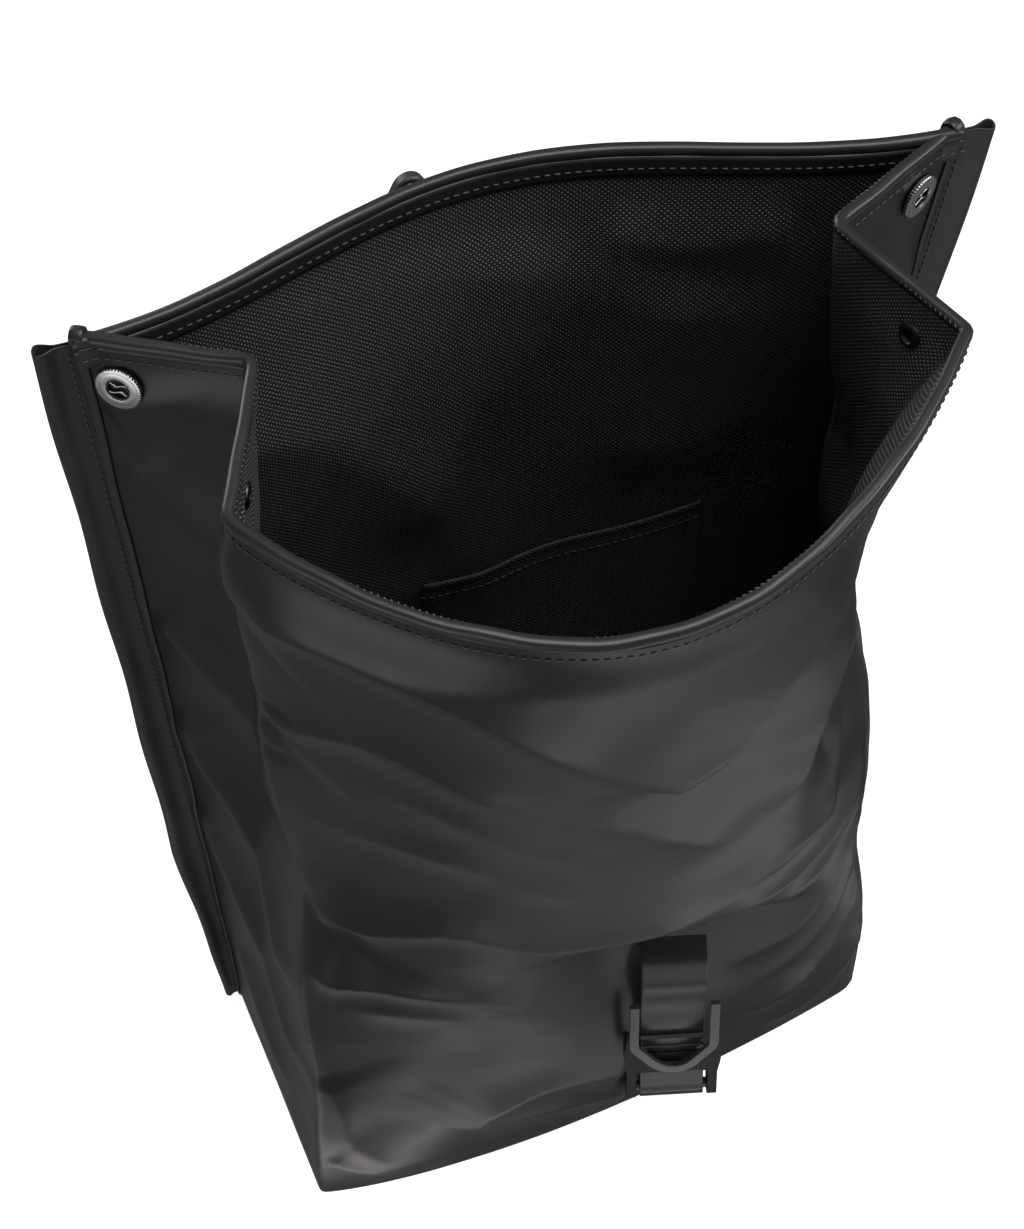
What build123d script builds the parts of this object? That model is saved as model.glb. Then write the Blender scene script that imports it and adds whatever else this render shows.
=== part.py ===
from build123d import *
import math
import os

os.makedirs("parts", exist_ok=True)

# A soft roll-top backpack standing unrolled and open on its base. Millimetres.
# X runs along the width, -Y is the front, +Z is up. The origin is the middle of the base on the floor.

# Driving dimensions of the bag
BASE_W = 285.0
BASE_D = 118.0
HEIGHT = 500.0
SHELL_T = 2.0        # coated outer fabric
LINING_T = 1.0
PLY_GAP = 0.4        # air between plies
HEM_H = 5.0          # rolled bead along the rim
HEM_PROUD = 0.8      # how far the bead stands out of the shell

# Plan corners at the rim: the slack bag twists a little as it opens
RIM = {
    "FL": (-134.0, -36.0),
    "FR": (128.0, -60.0),
    "GR": (109.0, 2.0),
    "BR": (171.0, 27.0),
    "BL": (-157.0, 56.0),
    "GL": (-104.0, 23.0),
}
# The same corners at the base, where the gusset folds have faded out
BASE = {
    "FL": (-BASE_W / 2, -BASE_D / 2),
    "FR": (BASE_W / 2, -BASE_D / 2),
    "GR": (BASE_W / 2, 0.0),
    "BR": (BASE_W / 2, BASE_D / 2),
    "BL": (-BASE_W / 2, BASE_D / 2),
    "GL": (-BASE_W / 2, 0.0),
}
# Height and forward bow of the front panel: a slumped crease just above the strap, then a full bow
FRONT_BOW = [(0.0, 15.0), (135.0, -12.0), (165.0, 20.0), (270.0, 32.0), (385.0, 58.0), (HEIGHT, 90.0)]
BACK_BOW = 37.0      # backward bow of the back rim
FRONT_N = 10         # flats along the front and back
BACK_N = 10

# Wings: the back seams stand out of the sides as flat folded flanges
WING_W = 13.0
WING_W_BASE = 6.0
WING_FULL_Z = 150.0  # height where a wing reaches its full width
WING_T = 4.4
SEAM_GAP = 0.6
BINDING_W = 4.5
BINDING_T = 1.0
FLOOR_GAP = 1.0      # trim that stops just above the floor

# Base stack
BOARD_T = 3.0
BASE_LEAN = 1.6      # the walls lean in by this much over the base stack

# Slip pocket on the back lining
POCKET_X = (-35.0, 90.0)
POCKET_Z = (120.0, 285.0)
POCKET_GAP = 9.0
POCKET_T = 1.0

# Snap fasteners on the gussets
SNAP_R = 8.5
SNAP_H = 3.0
SNAP_GAP = 0.6       # the gusset twists a little under the flat snaps
SNAP_HOLE_R = 2.9
SNAP_DROP = 22.0     # below the rim
SNAP_REACH = 43.0    # from the gusset fold
STUD_R = 2.6
STUD_H = 2.4
STUD_BASE_T = 1.2
CAP_R = 4.8
CAP_T = 1.4
EYELET_DEPTH = 0.8

# Front strap and hook, in the strap's own plane
STRAP_W = 30.0
STRAP_T = 2.4
BAR_AT = (27.4, -82.6, 28.8)     # middle of the hook's bar
STRAP_L = 96.0       # from the bar to the line where the strap flexes
STRAP_YAW = 19.4     # the strap hangs turned to the left
STRAP_TILT = 15.1    # and leans back towards the crease it is sewn under
BAR_R = 2.5
RUN_FIT = 0.06       # radial clearance of a loop on its bar
LOOP_R = 5.0
DOUBLED = 36.0       # length of the doubled end above the bar
FLEX_GAP = 2.6       # from the line where a strap flexes to the tab that is sewn on
STRAP_TAB_L = 10.0
HOOK_W = 41.0
HOOK_BAR = 3.6
HOOK_T = 3.0
HOOK_LIFT = 6.8      # back of the hook above the strap's middle plane
HOOK_LOW = 18.0      # lowest edge of the hook above the bar
HOOK_ELBOW = 37.0
HOOK_TIP = 65.0
HOOK_BEND_R = 6.0
HOOK_BOSS_W = 10.0
HOOK_BOSS_H = 5.0
PLATE_W = 43.0
PLATE_T = 2.0
PLATE_LOW = 14.5
PLATE_TOP = 28.0
LEG_W = 5.0
LEG_LOW = -3.2
LEG_BACK = -2.0
EAR_W = 2.4
EAR_TOP = 42.0

# Back: pad, yoke, closure strap, handle and shoulder straps
PAD_X = 78.0
PAD_Z = (40.0, 330.0)
PAD_T = 8.0
YOKE_X = 114.0
YOKE_Z = (372.0, 398.0)
YOKE_T = 2.0
CLOSURE_X = -22.0
CLOSURE_W = 30.0
CLOSURE_Z = 395.0
CLOSURE_T = 2.0
CLOSURE_OUT = 6.0    # strap's middle plane outside the back panel
CLOSURE_DOUBLED = 30.0
CLOSURE_TILT = 3.0
CLOSURE_TAB_Z = (377.0, 390.0)
RING_AT = 66.0       # ring's bar above the foot of its strap
RING_BAR_R = 2.0
RING_LOOP_R = 4.2
RING_W = 38.0
RING_H = 38.0
RING_SHOULDER = 8.0  # height where the ring's sides start to lean in
RING_APEX_W = 6.0
RING_BAR = 4.0
RING_CROWN = 5.0     # height of the metal at the apex
RING_T = 4.4
HANDLE_X = 44.0
HANDLE_Z = 374.0
HANDLE_OUT = 9.0
HANDLE_DROP = 42.0
HANDLE_W = 12.0
HANDLE_T = 4.0
HANDLE_BEND_R = 16.0
HANDLE_INNER_R = 10.0
HANDLE_TAB_Z = (377.0, 392.0)
WEB_W = 25.0
WEB_T = 2.4
WEB_X = 95.0
WEB_TOP = (31.0, 127.0)   # outside the back panel, height
WEB_FOOT = (4.0, 27.0)
FOOT_TAB_W = 36.0
FOOT_TAB_T = 5.0
FOOT_TAB_Z = (8.0, 25.0)
GLIDE_L = 22.0
GLIDE_BAR = 3.0
GLIDE_T = 7.0
GLIDE_SIDE = 2.8
GLIDE_FIT = 0.6
GLIDE_START = 6.0    # below the padded strap
# Shoulder strap stations: height, inner and outer distance from the back, middle x, half width
STRAP_STATIONS = [
    (132.0, 26.0, 35.0, 95.0, 15.0),
    (190.0, 28.0, 37.0, 92.0, 23.0),
    (260.0, 27.0, 36.0, 88.0, 28.0),
    (330.0, 20.0, 32.0, 84.0, 28.0),
    (360.0, 4.0, 26.0, 83.0, 28.0),
    (371.0, 0.4, 14.0, 82.0, 28.0),
]


def lerp(a, b, t):
    return a + (b - a) * t


def opening(z):
    """Share of the way from the base plan to the rim plan."""
    return (z / HEIGHT) ** 1.2


def corner(name, z):
    s = opening(z)
    return tuple(lerp(BASE[name][i], RIM[name][i], s) for i in (0, 1))


def front_bow(z):
    for (z0, b0), (z1, b1) in zip(FRONT_BOW, FRONT_BOW[1:]):
        if z <= z1:
            return lerp(b0, b1, (z - z0) / (z1 - z0))
    return FRONT_BOW[-1][1]


def front_point(t, z):
    """Outer surface of the front at share t from left to right; the bow is fuller on the left."""
    a, b = corner("FL", z), corner("FR", z)
    u = t ** 0.85
    return (lerp(a[0], b[0], t), lerp(a[1], b[1], t) - front_bow(z) * 4 * u * (1 - u))


def back_point(t, z):
    """Outer surface of the back at share t from left to right."""
    a, b = corner("BL", z), corner("BR", z)
    hump = BACK_BOW * opening(z) * math.sin(math.pi * t) ** 2
    return (lerp(a[0], b[0], t), lerp(a[1], b[1], t) + hump)


def ring(z):
    """The closed outer plan at height z, counter-clockwise from the front left corner."""
    front = [front_point(i / FRONT_N, z) for i in range(FRONT_N + 1)]
    back = [back_point(1 - i / BACK_N, z) for i in range(BACK_N + 1)]
    return front + [corner("GR", z)] + back + [corner("GL", z)]


# Where each panel starts and ends on the ring
FRONT_SPAN = (0, FRONT_N)
RIGHT_SPAN = (FRONT_N, FRONT_N + 2)
BACK_SPAN = (FRONT_N + 2, FRONT_N + 2 + BACK_N)
LEFT_SPAN = (FRONT_N + 2 + BACK_N, FRONT_N + 4 + BACK_N)


def inset(points, depth):
    """A closed outline moved inwards by depth, with mitred corners."""
    out = []
    n = len(points)
    for i in range(n):
        p, q, r = points[i - 1], points[i], points[(i + 1) % n]
        e0 = (Vector(*q) - Vector(*p)).normalized()
        e1 = (Vector(*r) - Vector(*q)).normalized()
        n0, n1 = Vector(-e0.Y, e0.X), Vector(-e1.Y, e1.X)
        m = (n0 + n1) * (depth / (1 + n0.dot(n1)))
        out.append((q[0] + m.X, q[1] + m.Y))
    return out


def polygon(points, z):
    return Face(Wire.make_polygon([Vector(x, y, z) for x, y in points], close=True))


def levels(z0, z1):
    return [z0] + [z for z, _ in FRONT_BOW if z0 + 1 < z < z1 - 1] + [z1]


def wall(span, d0, d1, z0, z1):
    """One panel of the bag: a ply between two depths under the outer surface."""
    sections = []
    for z in levels(z0, z1):
        outline = ring(z)
        outer, inner = inset(outline, d0), inset(outline, d1)
        index = [i % len(outline) for i in range(span[0], span[1] + 1)]
        sections.append(polygon([outer[i] for i in index] + [inner[i] for i in reversed(index)], z))
    return loft(sections, ruled=True)


def slab(depth, z0, z1):
    """A flat ply of the base, inside the walls."""
    return extrude(polygon(inset(ring(z0), depth), z0), z1 - z0)


def back_share(x, z):
    a, b = corner("BL", z), corner("BR", z)
    return (x - a[0]) / (b[0] - a[0])


def back_y(x, z):
    return back_point(back_share(x, z), z)[1]


def back_strip(x0, x1, depth0, depth1, z, flats):
    """Plan outline of a strip on the back, between two distances outside the back panel."""
    line = []
    for i in range(flats + 1):
        x = lerp(x0, x1, i / flats)
        slope = (back_y(x + 1, z) - back_y(x - 1, z)) / 2
        normal = Vector(-slope, 1).normalized()
        line.append((Vector(x, back_y(x, z)), normal))
    near = [(p + n * depth0) for p, n in line]
    far = [(p + n * depth1) for p, n in reversed(line)]
    return polygon([(v.X, v.Y) for v in near + far], z)


def back_ply(x0, x1, depth0, depth1, z0, z1, flats=8):
    return loft([back_strip(x0, x1, depth0, depth1, z, flats) for z in levels(z0, z1)], ruled=True)


def save(name, solid):
    export_step(solid, f"parts/{name}.step")


def box_between(x0, x1, y0, y1, z0, z1):
    return Pos((x0 + x1) / 2, (y0 + y1) / 2, (z0 + z1) / 2) * Box(x1 - x0, y1 - y0, z1 - z0)


# Shell, lining and hem

WALL_TOP = HEIGHT - HEM_H - 0.2
LINING_D = SHELL_T + PLY_GAP
INNER_FACE = LINING_D + LINING_T + PLY_GAP   # depth where a part inside the lining starts
PANELS = {"front": FRONT_SPAN, "right": RIGHT_SPAN, "back": BACK_SPAN, "left": LEFT_SPAN}
SHELL_NAMES = {
    "front": "front_panel",
    "right": "right_gusset",
    "back": "back_panel",
    "left": "left_gusset",
}


def make_shell():
    for side, span in PANELS.items():
        save(SHELL_NAMES[side], wall(span, 0.0, SHELL_T, 0.0, WALL_TOP))
        lining_foot = SHELL_T + BOARD_T + 2 * PLY_GAP
        save(side + "_lining", wall(span, LINING_D, LINING_D + LINING_T, lining_foot, WALL_TOP))
        hem = wall(span, -HEM_PROUD, LINING_D + LINING_T + HEM_PROUD, HEIGHT - HEM_H, HEIGHT)
        save(side + "_rim_hem", hem)


def make_base():
    save("base_panel", slab(SHELL_T + 2 * PLY_GAP, 0.0, SHELL_T))
    board_z = SHELL_T + PLY_GAP
    save("base_board", slab(SHELL_T + PLY_GAP + BASE_LEAN, board_z, board_z + BOARD_T))
    lining_z = board_z + BOARD_T + PLY_GAP
    save("base_lining", slab(INNER_FACE + BASE_LEAN, lining_z, lining_z + LINING_T))


# Wings and their bindings


def wing_frame(side, z):
    """Corner of the back seam, the direction out of the side and the direction to the front."""
    tip = "BL" if side == "left" else "BR"
    sign = -1 if side == "left" else 1
    at = Vector(*corner(tip, z))
    chord = (Vector(*corner("BR", z)) - Vector(*corner("BL", z))).normalized()
    out = chord * sign
    return at, out, Vector(chord.Y, -chord.X)


def wing_section(side, z, u0, u1, v0, v1):
    at, out, ahead = wing_frame(side, z)
    corners = [(u0, v0), (u1, v0), (u1, v1), (u0, v1)]
    points = [at + out * u + ahead * v for u, v in corners]
    return polygon([(p.X, p.Y) for p in points], z)


def make_wings():
    for side in ("left", "right"):
        wing, binding = [], []
        for z in levels(FLOOR_GAP, WALL_TOP):
            width = lerp(WING_W_BASE, WING_W, min(1.0, z / WING_FULL_Z))
            wing.append(wing_section(side, z, SEAM_GAP, width, -WING_T / 2, WING_T / 2))
            face = WING_T / 2 + PLY_GAP
            strip = min(BINDING_W, width - 2 * SEAM_GAP)
            binding.append(wing_section(side, z, SEAM_GAP, SEAM_GAP + strip, face, face + BINDING_T))
        save(side + "_wing", loft(wing, ruled=True))
        save(side + "_wing_binding", loft(binding, ruled=True))


# Slip pocket


def make_pocket():
    """A shallow tray on the back lining, open at the top."""
    outer = back_ply(*POCKET_X, -INNER_FACE, -(INNER_FACE + POCKET_GAP + POCKET_T), *POCKET_Z)
    inside_x = (POCKET_X[0] + POCKET_T, POCKET_X[1] - POCKET_T)
    inside_z = (POCKET_Z[0] + POCKET_T, POCKET_Z[1] + POCKET_T)
    inner = back_ply(*inside_x, PLY_GAP - INNER_FACE, -(INNER_FACE + POCKET_GAP), *inside_z)
    save("inner_pocket", outer - inner)


# Snaps


def snap_plane(side, half):
    """Plane on the gusset's outer face at the snap; its normal points away from the gusset."""
    z = HEIGHT - SNAP_DROP
    fold = Vector(*corner("GL" if side == "left" else "GR", z))
    end_name = ("B" if half == "rear" else "F") + ("L" if side == "left" else "R")
    end = Vector(*corner(end_name, z))
    along = (end - fold).normalized()
    normal = Vector(along.Y, -along.X)
    if (side == "left") == (half == "rear"):
        normal = -normal
    at = fold + along * SNAP_REACH
    return Plane(origin=(at.X, at.Y, z), x_dir=(along.X, along.Y, 0), z_dir=(normal.X, normal.Y, 0))


def make_snaps():
    for side in ("left", "right"):
        rear = Location(snap_plane(side, "rear"))
        socket = Pos(0, 0, SNAP_GAP + SNAP_H / 2) * Cylinder(SNAP_R, SNAP_H)
        socket -= Pos(0, 0, SNAP_GAP + SNAP_H) * Cylinder(SNAP_HOLE_R, SNAP_H)
        cap = Pos(0, 0, -INNER_FACE - CAP_T / 2) * Cylinder(CAP_R, CAP_T)
        save(f"{side}_snap_socket", rear * socket)
        save(f"{side}_socket_cap", rear * cap)
        front = Location(snap_plane(side, "front"))
        stud = Pos(0, 0, SNAP_GAP + STUD_BASE_T / 2) * Cylinder(CAP_R, STUD_BASE_T)
        stud += Pos(0, 0, SNAP_GAP + STUD_BASE_T + STUD_H / 2) * Cylinder(STUD_R, STUD_H)
        eyelet = cap - Pos(0, 0, -INNER_FACE - CAP_T) * Cylinder(STUD_R, 2 * EYELET_DEPTH)
        save(f"{side}_snap_stud", front * stud)
        save(f"{side}_stud_eyelet", front * eyelet)


# Front strap and hook, drawn flat: x across, y up the strap, z out of the bag

STRAP_ACROSS = Vector(1, 0, 0).rotate(Axis.Z, -STRAP_YAW)
STRAP_UP = Vector(0, 0, 1).rotate(Axis((0, 0, 0), tuple(STRAP_ACROSS)), -STRAP_TILT)
STRAP_TOP = tuple(Vector(*BAR_AT) + STRAP_UP * STRAP_L)
STRAP_PLANE = Plane(origin=BAR_AT, x_dir=STRAP_ACROSS, z_dir=STRAP_ACROSS.cross(STRAP_UP))


def cross_bar(radius, length):
    return Rot(0, 90, 0) * Cylinder(radius, length)


def strap_loop(bar_r, loop_r, width, single, doubled, length):
    """A strap turned round a bar and sewn back on itself; its other end is round, where it flexes."""
    hole = cross_bar(bar_r + RUN_FIT, 2 * width)
    body = cross_bar(loop_r, width)
    body += box_between(-width / 2, width / 2, 0, doubled, -single, single)
    body += box_between(-width / 2, width / 2, doubled - single, length, -single / 2, single / 2)
    body += Pos(0, length, 0) * cross_bar(single / 2, width)
    return body - hole


def make_front_strap():
    place = Location(STRAP_PLANE)
    save("front_strap", place * strap_loop(BAR_R, LOOP_R, STRAP_W, STRAP_T, DOUBLED, STRAP_L))
    half_w, half_t, tab_y = STRAP_W / 2, STRAP_T / 2, STRAP_L + FLEX_GAP
    tab = box_between(-half_w, half_w, tab_y, tab_y + STRAP_TAB_L, -half_t, half_t)
    save("front_strap_anchor", place * tab)


def hook_outline():
    """Centre line of the hook from tip to tip, and its width."""
    side = (HOOK_W - HOOK_BAR) / 2
    low = HOOK_LOW + HOOK_BAR / 2
    corners = [(-side, HOOK_TIP), (-side, HOOK_ELBOW), (0, low), (side, HOOK_ELBOW), (side, HOOK_TIP)]
    return FilletPolyline(*corners, radius=HOOK_BEND_R)


def make_hook():
    place = Location(STRAP_PLANE)
    path = hook_outline()
    hook_base = Plane.XY.offset(HOOK_LIFT)
    flat = trace(hook_base * path, line_width=HOOK_BAR)
    hook = extrude(flat, HOOK_T, dir=(0, 0, 1))
    boss_y = HOOK_LOW + HOOK_BAR / 4
    plate_front = STRAP_T + PLY_GAP + PLATE_T
    boss_top = HOOK_LIFT + HOOK_T / 4
    half_boss = HOOK_BOSS_W / 2
    hook += box_between(-half_boss, half_boss, boss_y, boss_y + HOOK_BOSS_H, plate_front, boss_top)
    save("closure_hook", place * hook)
    half = PLATE_W / 2
    inner = half - LEG_W
    back = plate_front - PLATE_T
    plate = box_between(-half, half, PLATE_LOW, PLATE_TOP, back, plate_front)
    for sign in (-1, 1):
        low, high = sorted((sign * inner, sign * half))
        plate += box_between(low, high, LEG_LOW, PLATE_TOP, LEG_BACK, plate_front)
        ear_low, ear_high = sorted((sign * (half - EAR_W), sign * half))
        plate += box_between(ear_low, ear_high, PLATE_LOW, EAR_TOP, back, plate_front)
    pin = cross_bar(BAR_R, PLATE_W - LEG_W / 4)
    save("hook_plate", place * (plate - pin))
    save("hook_bar", place * pin)


# Back of the bag


def make_back_pad():
    save("back_pad", back_ply(-PAD_X, PAD_X, PLY_GAP, PLY_GAP + PAD_T, *PAD_Z))
    save("strap_yoke", back_ply(-YOKE_X, YOKE_X, PLY_GAP, PLY_GAP + YOKE_T, *YOKE_Z))


CLOSURE_PLANE = Plane(
    origin=(CLOSURE_X, back_y(CLOSURE_X, CLOSURE_Z) + CLOSURE_OUT, CLOSURE_Z),
    x_dir=(-1, 0, 0),
    z_dir=(0, math.cos(math.radians(CLOSURE_TILT)), -math.sin(math.radians(CLOSURE_TILT))),
)


# A tab that is sewn on over the yoke
TAB_DEPTH = (YOKE_T + 2 * PLY_GAP, YOKE_T + 2 * PLY_GAP + STRAP_T)


def ring_outline(half, apex, low, high):
    """The ring's five-sided outline, pointed at the top with a short flat apex."""
    shoulder = RING_AT - RING_BAR / 2 + RING_SHOULDER
    left = [(-apex, high), (-half, shoulder), (-half, low)]
    right = [(-x, y) for x, y in reversed(left)]
    return make_face(Polyline(*left, *right, close=True))


def make_closure():
    """The strap that closes the rolled top stands up behind the back with its ring at the rim."""
    place = Location(CLOSURE_PLANE)
    strap = strap_loop(RING_BAR_R, RING_LOOP_R, CLOSURE_W, CLOSURE_T, CLOSURE_DOUBLED, RING_AT)
    save("closure_strap", place * (Pos(0, RING_AT, 0) * Rot(180, 0, 0) * strap))
    low = RING_AT - RING_BAR / 2
    outer = ring_outline(RING_W / 2, RING_APEX_W / 2, low, low + RING_H)
    inner = ring_outline(RING_W / 2 - RING_BAR, RING_APEX_W / 3, low - RING_BAR, low + RING_H - RING_CROWN)
    frame = extrude(outer - inner, RING_T / 2, both=True)
    bar = Pos(0, RING_AT, 0) * cross_bar(RING_BAR_R, RING_W - RING_BAR / 2)
    save("closure_ring", place * (frame + bar))
    x0, x1 = CLOSURE_X - CLOSURE_W / 2, CLOSURE_X + CLOSURE_W / 2
    save("closure_strap_anchor", back_ply(x0, x1, *TAB_DEPTH, *CLOSURE_TAB_Z, 2))


def make_handle():
    """A flat loop of doubled leather that hangs from its two sewn ends."""
    y = back_y(0, HANDLE_Z) + HANDLE_OUT
    outer = HANDLE_X + HANDLE_W / 2
    tall = HANDLE_DROP + 2 * HANDLE_BEND_R     # its upper corners are cut away
    blank = Pos(0, tall / 2) * RectangleRounded(2 * outer, tall, HANDLE_BEND_R)
    hole = RectangleRounded(2 * (outer - HANDLE_W), tall, HANDLE_INNER_R)
    flat = blank - Pos(0, tall / 2 + HANDLE_W) * hole
    flat = flat & (Pos(0, HANDLE_DROP / 2) * Rectangle(2 * outer, HANDLE_DROP))
    handle = Pos(0, y, HANDLE_Z - HANDLE_DROP) * Rot(90, 0, 0) * extrude(flat, HANDLE_T / 2, both=True)
    for name, sign in (("left", -1), ("right", 1)):
        x = sign * HANDLE_X
        handle += Pos(x, y, HANDLE_Z) * cross_bar(HANDLE_T / 2, HANDLE_W)
        half = HANDLE_W / 2
        save(f"{name}_handle_tab", back_ply(x - half, x + half, *TAB_DEPTH, *HANDLE_TAB_Z, 2))
    save("carry_handle", handle)


def make_shoulder_strap(name, sign):
    sections = []
    for z, near, far, x, half in STRAP_STATIONS:
        sections.append(back_strip(sign * x - half, sign * x + half, near, far, z, 2))
    save(f"{name}_shoulder_strap", loft(sections, ruled=True))


def web_frame(sign):
    """Plane at the webbing's top: x across, y down the webbing, z out of the bag."""
    x = sign * WEB_X
    top = Vector(x, back_y(x, WEB_TOP[1]) + WEB_TOP[0], WEB_TOP[1])
    foot = Vector(x, back_y(x, WEB_FOOT[1]) + WEB_FOOT[0], WEB_FOOT[1])
    down = foot - top
    across = Vector(1, 0, 0)
    return Plane(origin=top, x_dir=across, z_dir=across.cross(down)), down.length


def make_lower_strap(name, sign):
    plane, length = web_frame(sign)
    place = Location(plane)
    half_w, half_t = WEB_W / 2, WEB_T / 2
    web = box_between(-half_w, half_w, 0, length, -half_t, half_t)
    save(f"{name}_lower_webbing", place * web)
    x = sign * WEB_X
    half_tab = FOOT_TAB_W / 2
    tab = back_ply(x - half_tab, x + half_tab, PLY_GAP, PLY_GAP + FOOT_TAB_T, *FOOT_TAB_Z, 2)
    save(f"{name}_anchor_tab", tab)
    inner = half_w + GLIDE_FIT
    outer = inner + GLIDE_SIDE
    top, bottom = GLIDE_START, GLIDE_START + GLIDE_L
    clear = half_t + PLY_GAP
    glide = box_between(-outer, -inner, top, bottom, -GLIDE_T / 2, GLIDE_T / 2)
    glide += box_between(inner, outer, top, bottom, -GLIDE_T / 2, GLIDE_T / 2)
    for y in (top, bottom - GLIDE_BAR):
        glide += box_between(-outer, outer, y, y + GLIDE_BAR, clear, GLIDE_T / 2)
    middle = (top + bottom - GLIDE_BAR) / 2
    glide += box_between(-outer, outer, middle, middle + GLIDE_BAR, -GLIDE_T / 2, -clear)
    save(f"{name}_adjuster", place * glide)


make_shell()
make_base()
make_wings()
make_pocket()
make_snaps()
make_front_strap()
make_hook()
make_back_pad()
make_closure()
make_handle()
for strap_name, strap_sign in (("left", -1), ("right", 1)):
    make_shoulder_strap(strap_name, strap_sign)
    make_lower_strap(strap_name, strap_sign)
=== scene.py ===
import math

import bpy
import numpy as np
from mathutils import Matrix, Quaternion, Vector


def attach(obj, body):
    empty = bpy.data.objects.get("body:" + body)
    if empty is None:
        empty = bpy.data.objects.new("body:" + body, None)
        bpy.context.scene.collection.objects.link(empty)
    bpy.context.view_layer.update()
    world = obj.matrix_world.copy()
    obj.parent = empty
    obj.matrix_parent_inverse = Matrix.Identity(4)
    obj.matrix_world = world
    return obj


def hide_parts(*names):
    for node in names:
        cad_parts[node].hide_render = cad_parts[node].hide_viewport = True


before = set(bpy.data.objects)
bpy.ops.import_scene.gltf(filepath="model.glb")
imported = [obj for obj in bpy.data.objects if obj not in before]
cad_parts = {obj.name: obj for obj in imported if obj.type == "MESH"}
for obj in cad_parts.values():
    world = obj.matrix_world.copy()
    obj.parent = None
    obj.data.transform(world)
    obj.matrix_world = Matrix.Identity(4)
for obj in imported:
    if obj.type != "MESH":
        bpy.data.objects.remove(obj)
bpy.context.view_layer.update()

# A soft roll-top backpack, unrolled and open. Lengths are millimetres until a mesh is made in metres.
MM = 0.001

# ---- Geometry of the bag ----

HEIGHT = 500.0
HALF_W = 142.5
HALF_D = 59.0
# Corners of the rim and of the base, seen from above: front, fold of the gusset and back, left and right
RIM = {
    "FL": (-134, -36), "FR": (128, -60), "GR": (109, 2), "BR": (171, 27), "BL": (-157, 56), "GL": (-104, 23),
}
BASE = {
    "FL": (-HALF_W, -HALF_D), "FR": (HALF_W, -HALF_D), "GR": (HALF_W, 0),
    "BR": (HALF_W, HALF_D), "BL": (-HALF_W, HALF_D), "GL": (-HALF_W, 0),
}
WRAP_END = HALF_W + 2 * HALF_D       # distance along the wrap from the middle of the front to a back seam
# Height and forward bow of the middle of the front
BODY_BOW = [
    (0, 14), (40, 15), (80, 13), (125, 15), (165, 20), (215, 28), (270, 34), (385, 58), (440, 74), (500, 84),
]
# Height and depth of the hollow under the slumped crease
HOLLOW = [
    (0, 0), (20, 1.5), (60, 7), (100, 17), (128, 25), (142, 26), (152, 15), (161, 3), (170, -1), (190, 0),
    (500, 0),
]
BACK_HUMP = 37.0
TOP = 496.0          # where the panels meet the rolled rim


def lerp(a, b, t):
    return a + (b - a) * t


def smooth(a, b, x):
    t = np.clip((x - a) / (b - a), 0, 1)
    return t * t * (3 - 2 * t)


def bell(x, middle, width):
    return np.exp(-((x - middle) / width) ** 2)


def curve_at(table, x):
    """A smooth curve through the points of a table."""
    xs, ys = np.array(table, float).T
    slopes = np.gradient(ys, xs)
    i = np.clip(np.searchsorted(xs, x) - 1, 0, len(xs) - 2)
    h = xs[i + 1] - xs[i]
    t = np.clip((x - xs[i]) / h, 0, 1)
    a = (2 * t**3 - 3 * t**2 + 1) * ys[i] + (t**3 - 2 * t**2 + t) * h * slopes[i]
    b = (3 * t**2 - 2 * t**3) * ys[i + 1] + (t**3 - t**2) * h * slopes[i + 1]
    return a + b


def opening(z):
    return (np.clip(z, 0, HEIGHT) / HEIGHT) ** 1.2


def corner(name, z):
    share = opening(z)
    return np.stack([lerp(BASE[name][i], RIM[name][i], share) for i in (0, 1)], -1)


def between(a, b, t):
    return a + (b - a) * t[..., None]


CREASE_RISE = [(-160, 62), (-130, 60), (-64, 46), (9, 14), (40, 0), (70, -10), (142, -14), (160, -14)]


def crease_lift(s, z):
    """How much higher the slumped crease runs at s than over the strap."""
    return curve_at(CREASE_RISE, s) * smooth(0, 110, z) * (1 - smooth(240, 400, z))


def wrap_plan(s, z):
    """Plan of the front and gussets at distance s along the base from the middle of the front."""
    t = np.clip((s + HALF_W) / (2 * HALF_W), 0, 1)
    u = t**0.85
    front = between(corner("FL", z), corner("FR", z), t)
    low_z = z - crease_lift(s, z)
    hollow = curve_at(HOLLOW, low_z) * (0.06 + 0.94 * bell(s, 32, 50))
    hollow = hollow * smooth(0, 0.12, t) * (1 - smooth(0.85, 1, t))
    front[..., 1] -= curve_at(BODY_BOW, z) * 4 * u * (1 - u) - hollow
    for side, sign in (("L", -1), ("R", 1)):
        d = np.clip(sign * s - HALF_W, 0, 2 * HALF_D) / HALF_D
        ahead = between(corner("F" + side, z), corner("G" + side, z), np.clip(d, 0, 1))
        behind = between(corner("G" + side, z), corner("B" + side, z), np.clip(d - 1, 0, 1))
        gusset = np.where(d[..., None] < 1, ahead, behind)
        front = np.where((sign * s > HALF_W)[..., None], gusset, front)
    return front


EDGE_BLUR = ((-2, 0.07), (-1, 0.24), (0, 0.38), (1, 0.24), (2, 0.07))


def wrap_surface(s, z):
    """Outer surface of the front and gussets, with its edges rounded."""
    round_by = 1.6 + 5.0 * smooth(100, 140, s) * (1 - smooth(330, 470, z)) * (1 - smooth(150, 200, s))
    plan = 0
    for step, share in EDGE_BLUR:
        plan = plan + share * wrap_plan(np.clip(s + step * round_by, -WRAP_END, WRAP_END), z)
    return np.concatenate([plan, z[..., None]], -1)


def back_surface(t, z):
    plan = between(corner("BL", z), corner("BR", z), t)
    plan[..., 1] += BACK_HUMP * opening(z) * np.sin(math.pi * t) ** 2
    return np.concatenate([plan, z[..., None]], -1)


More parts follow.
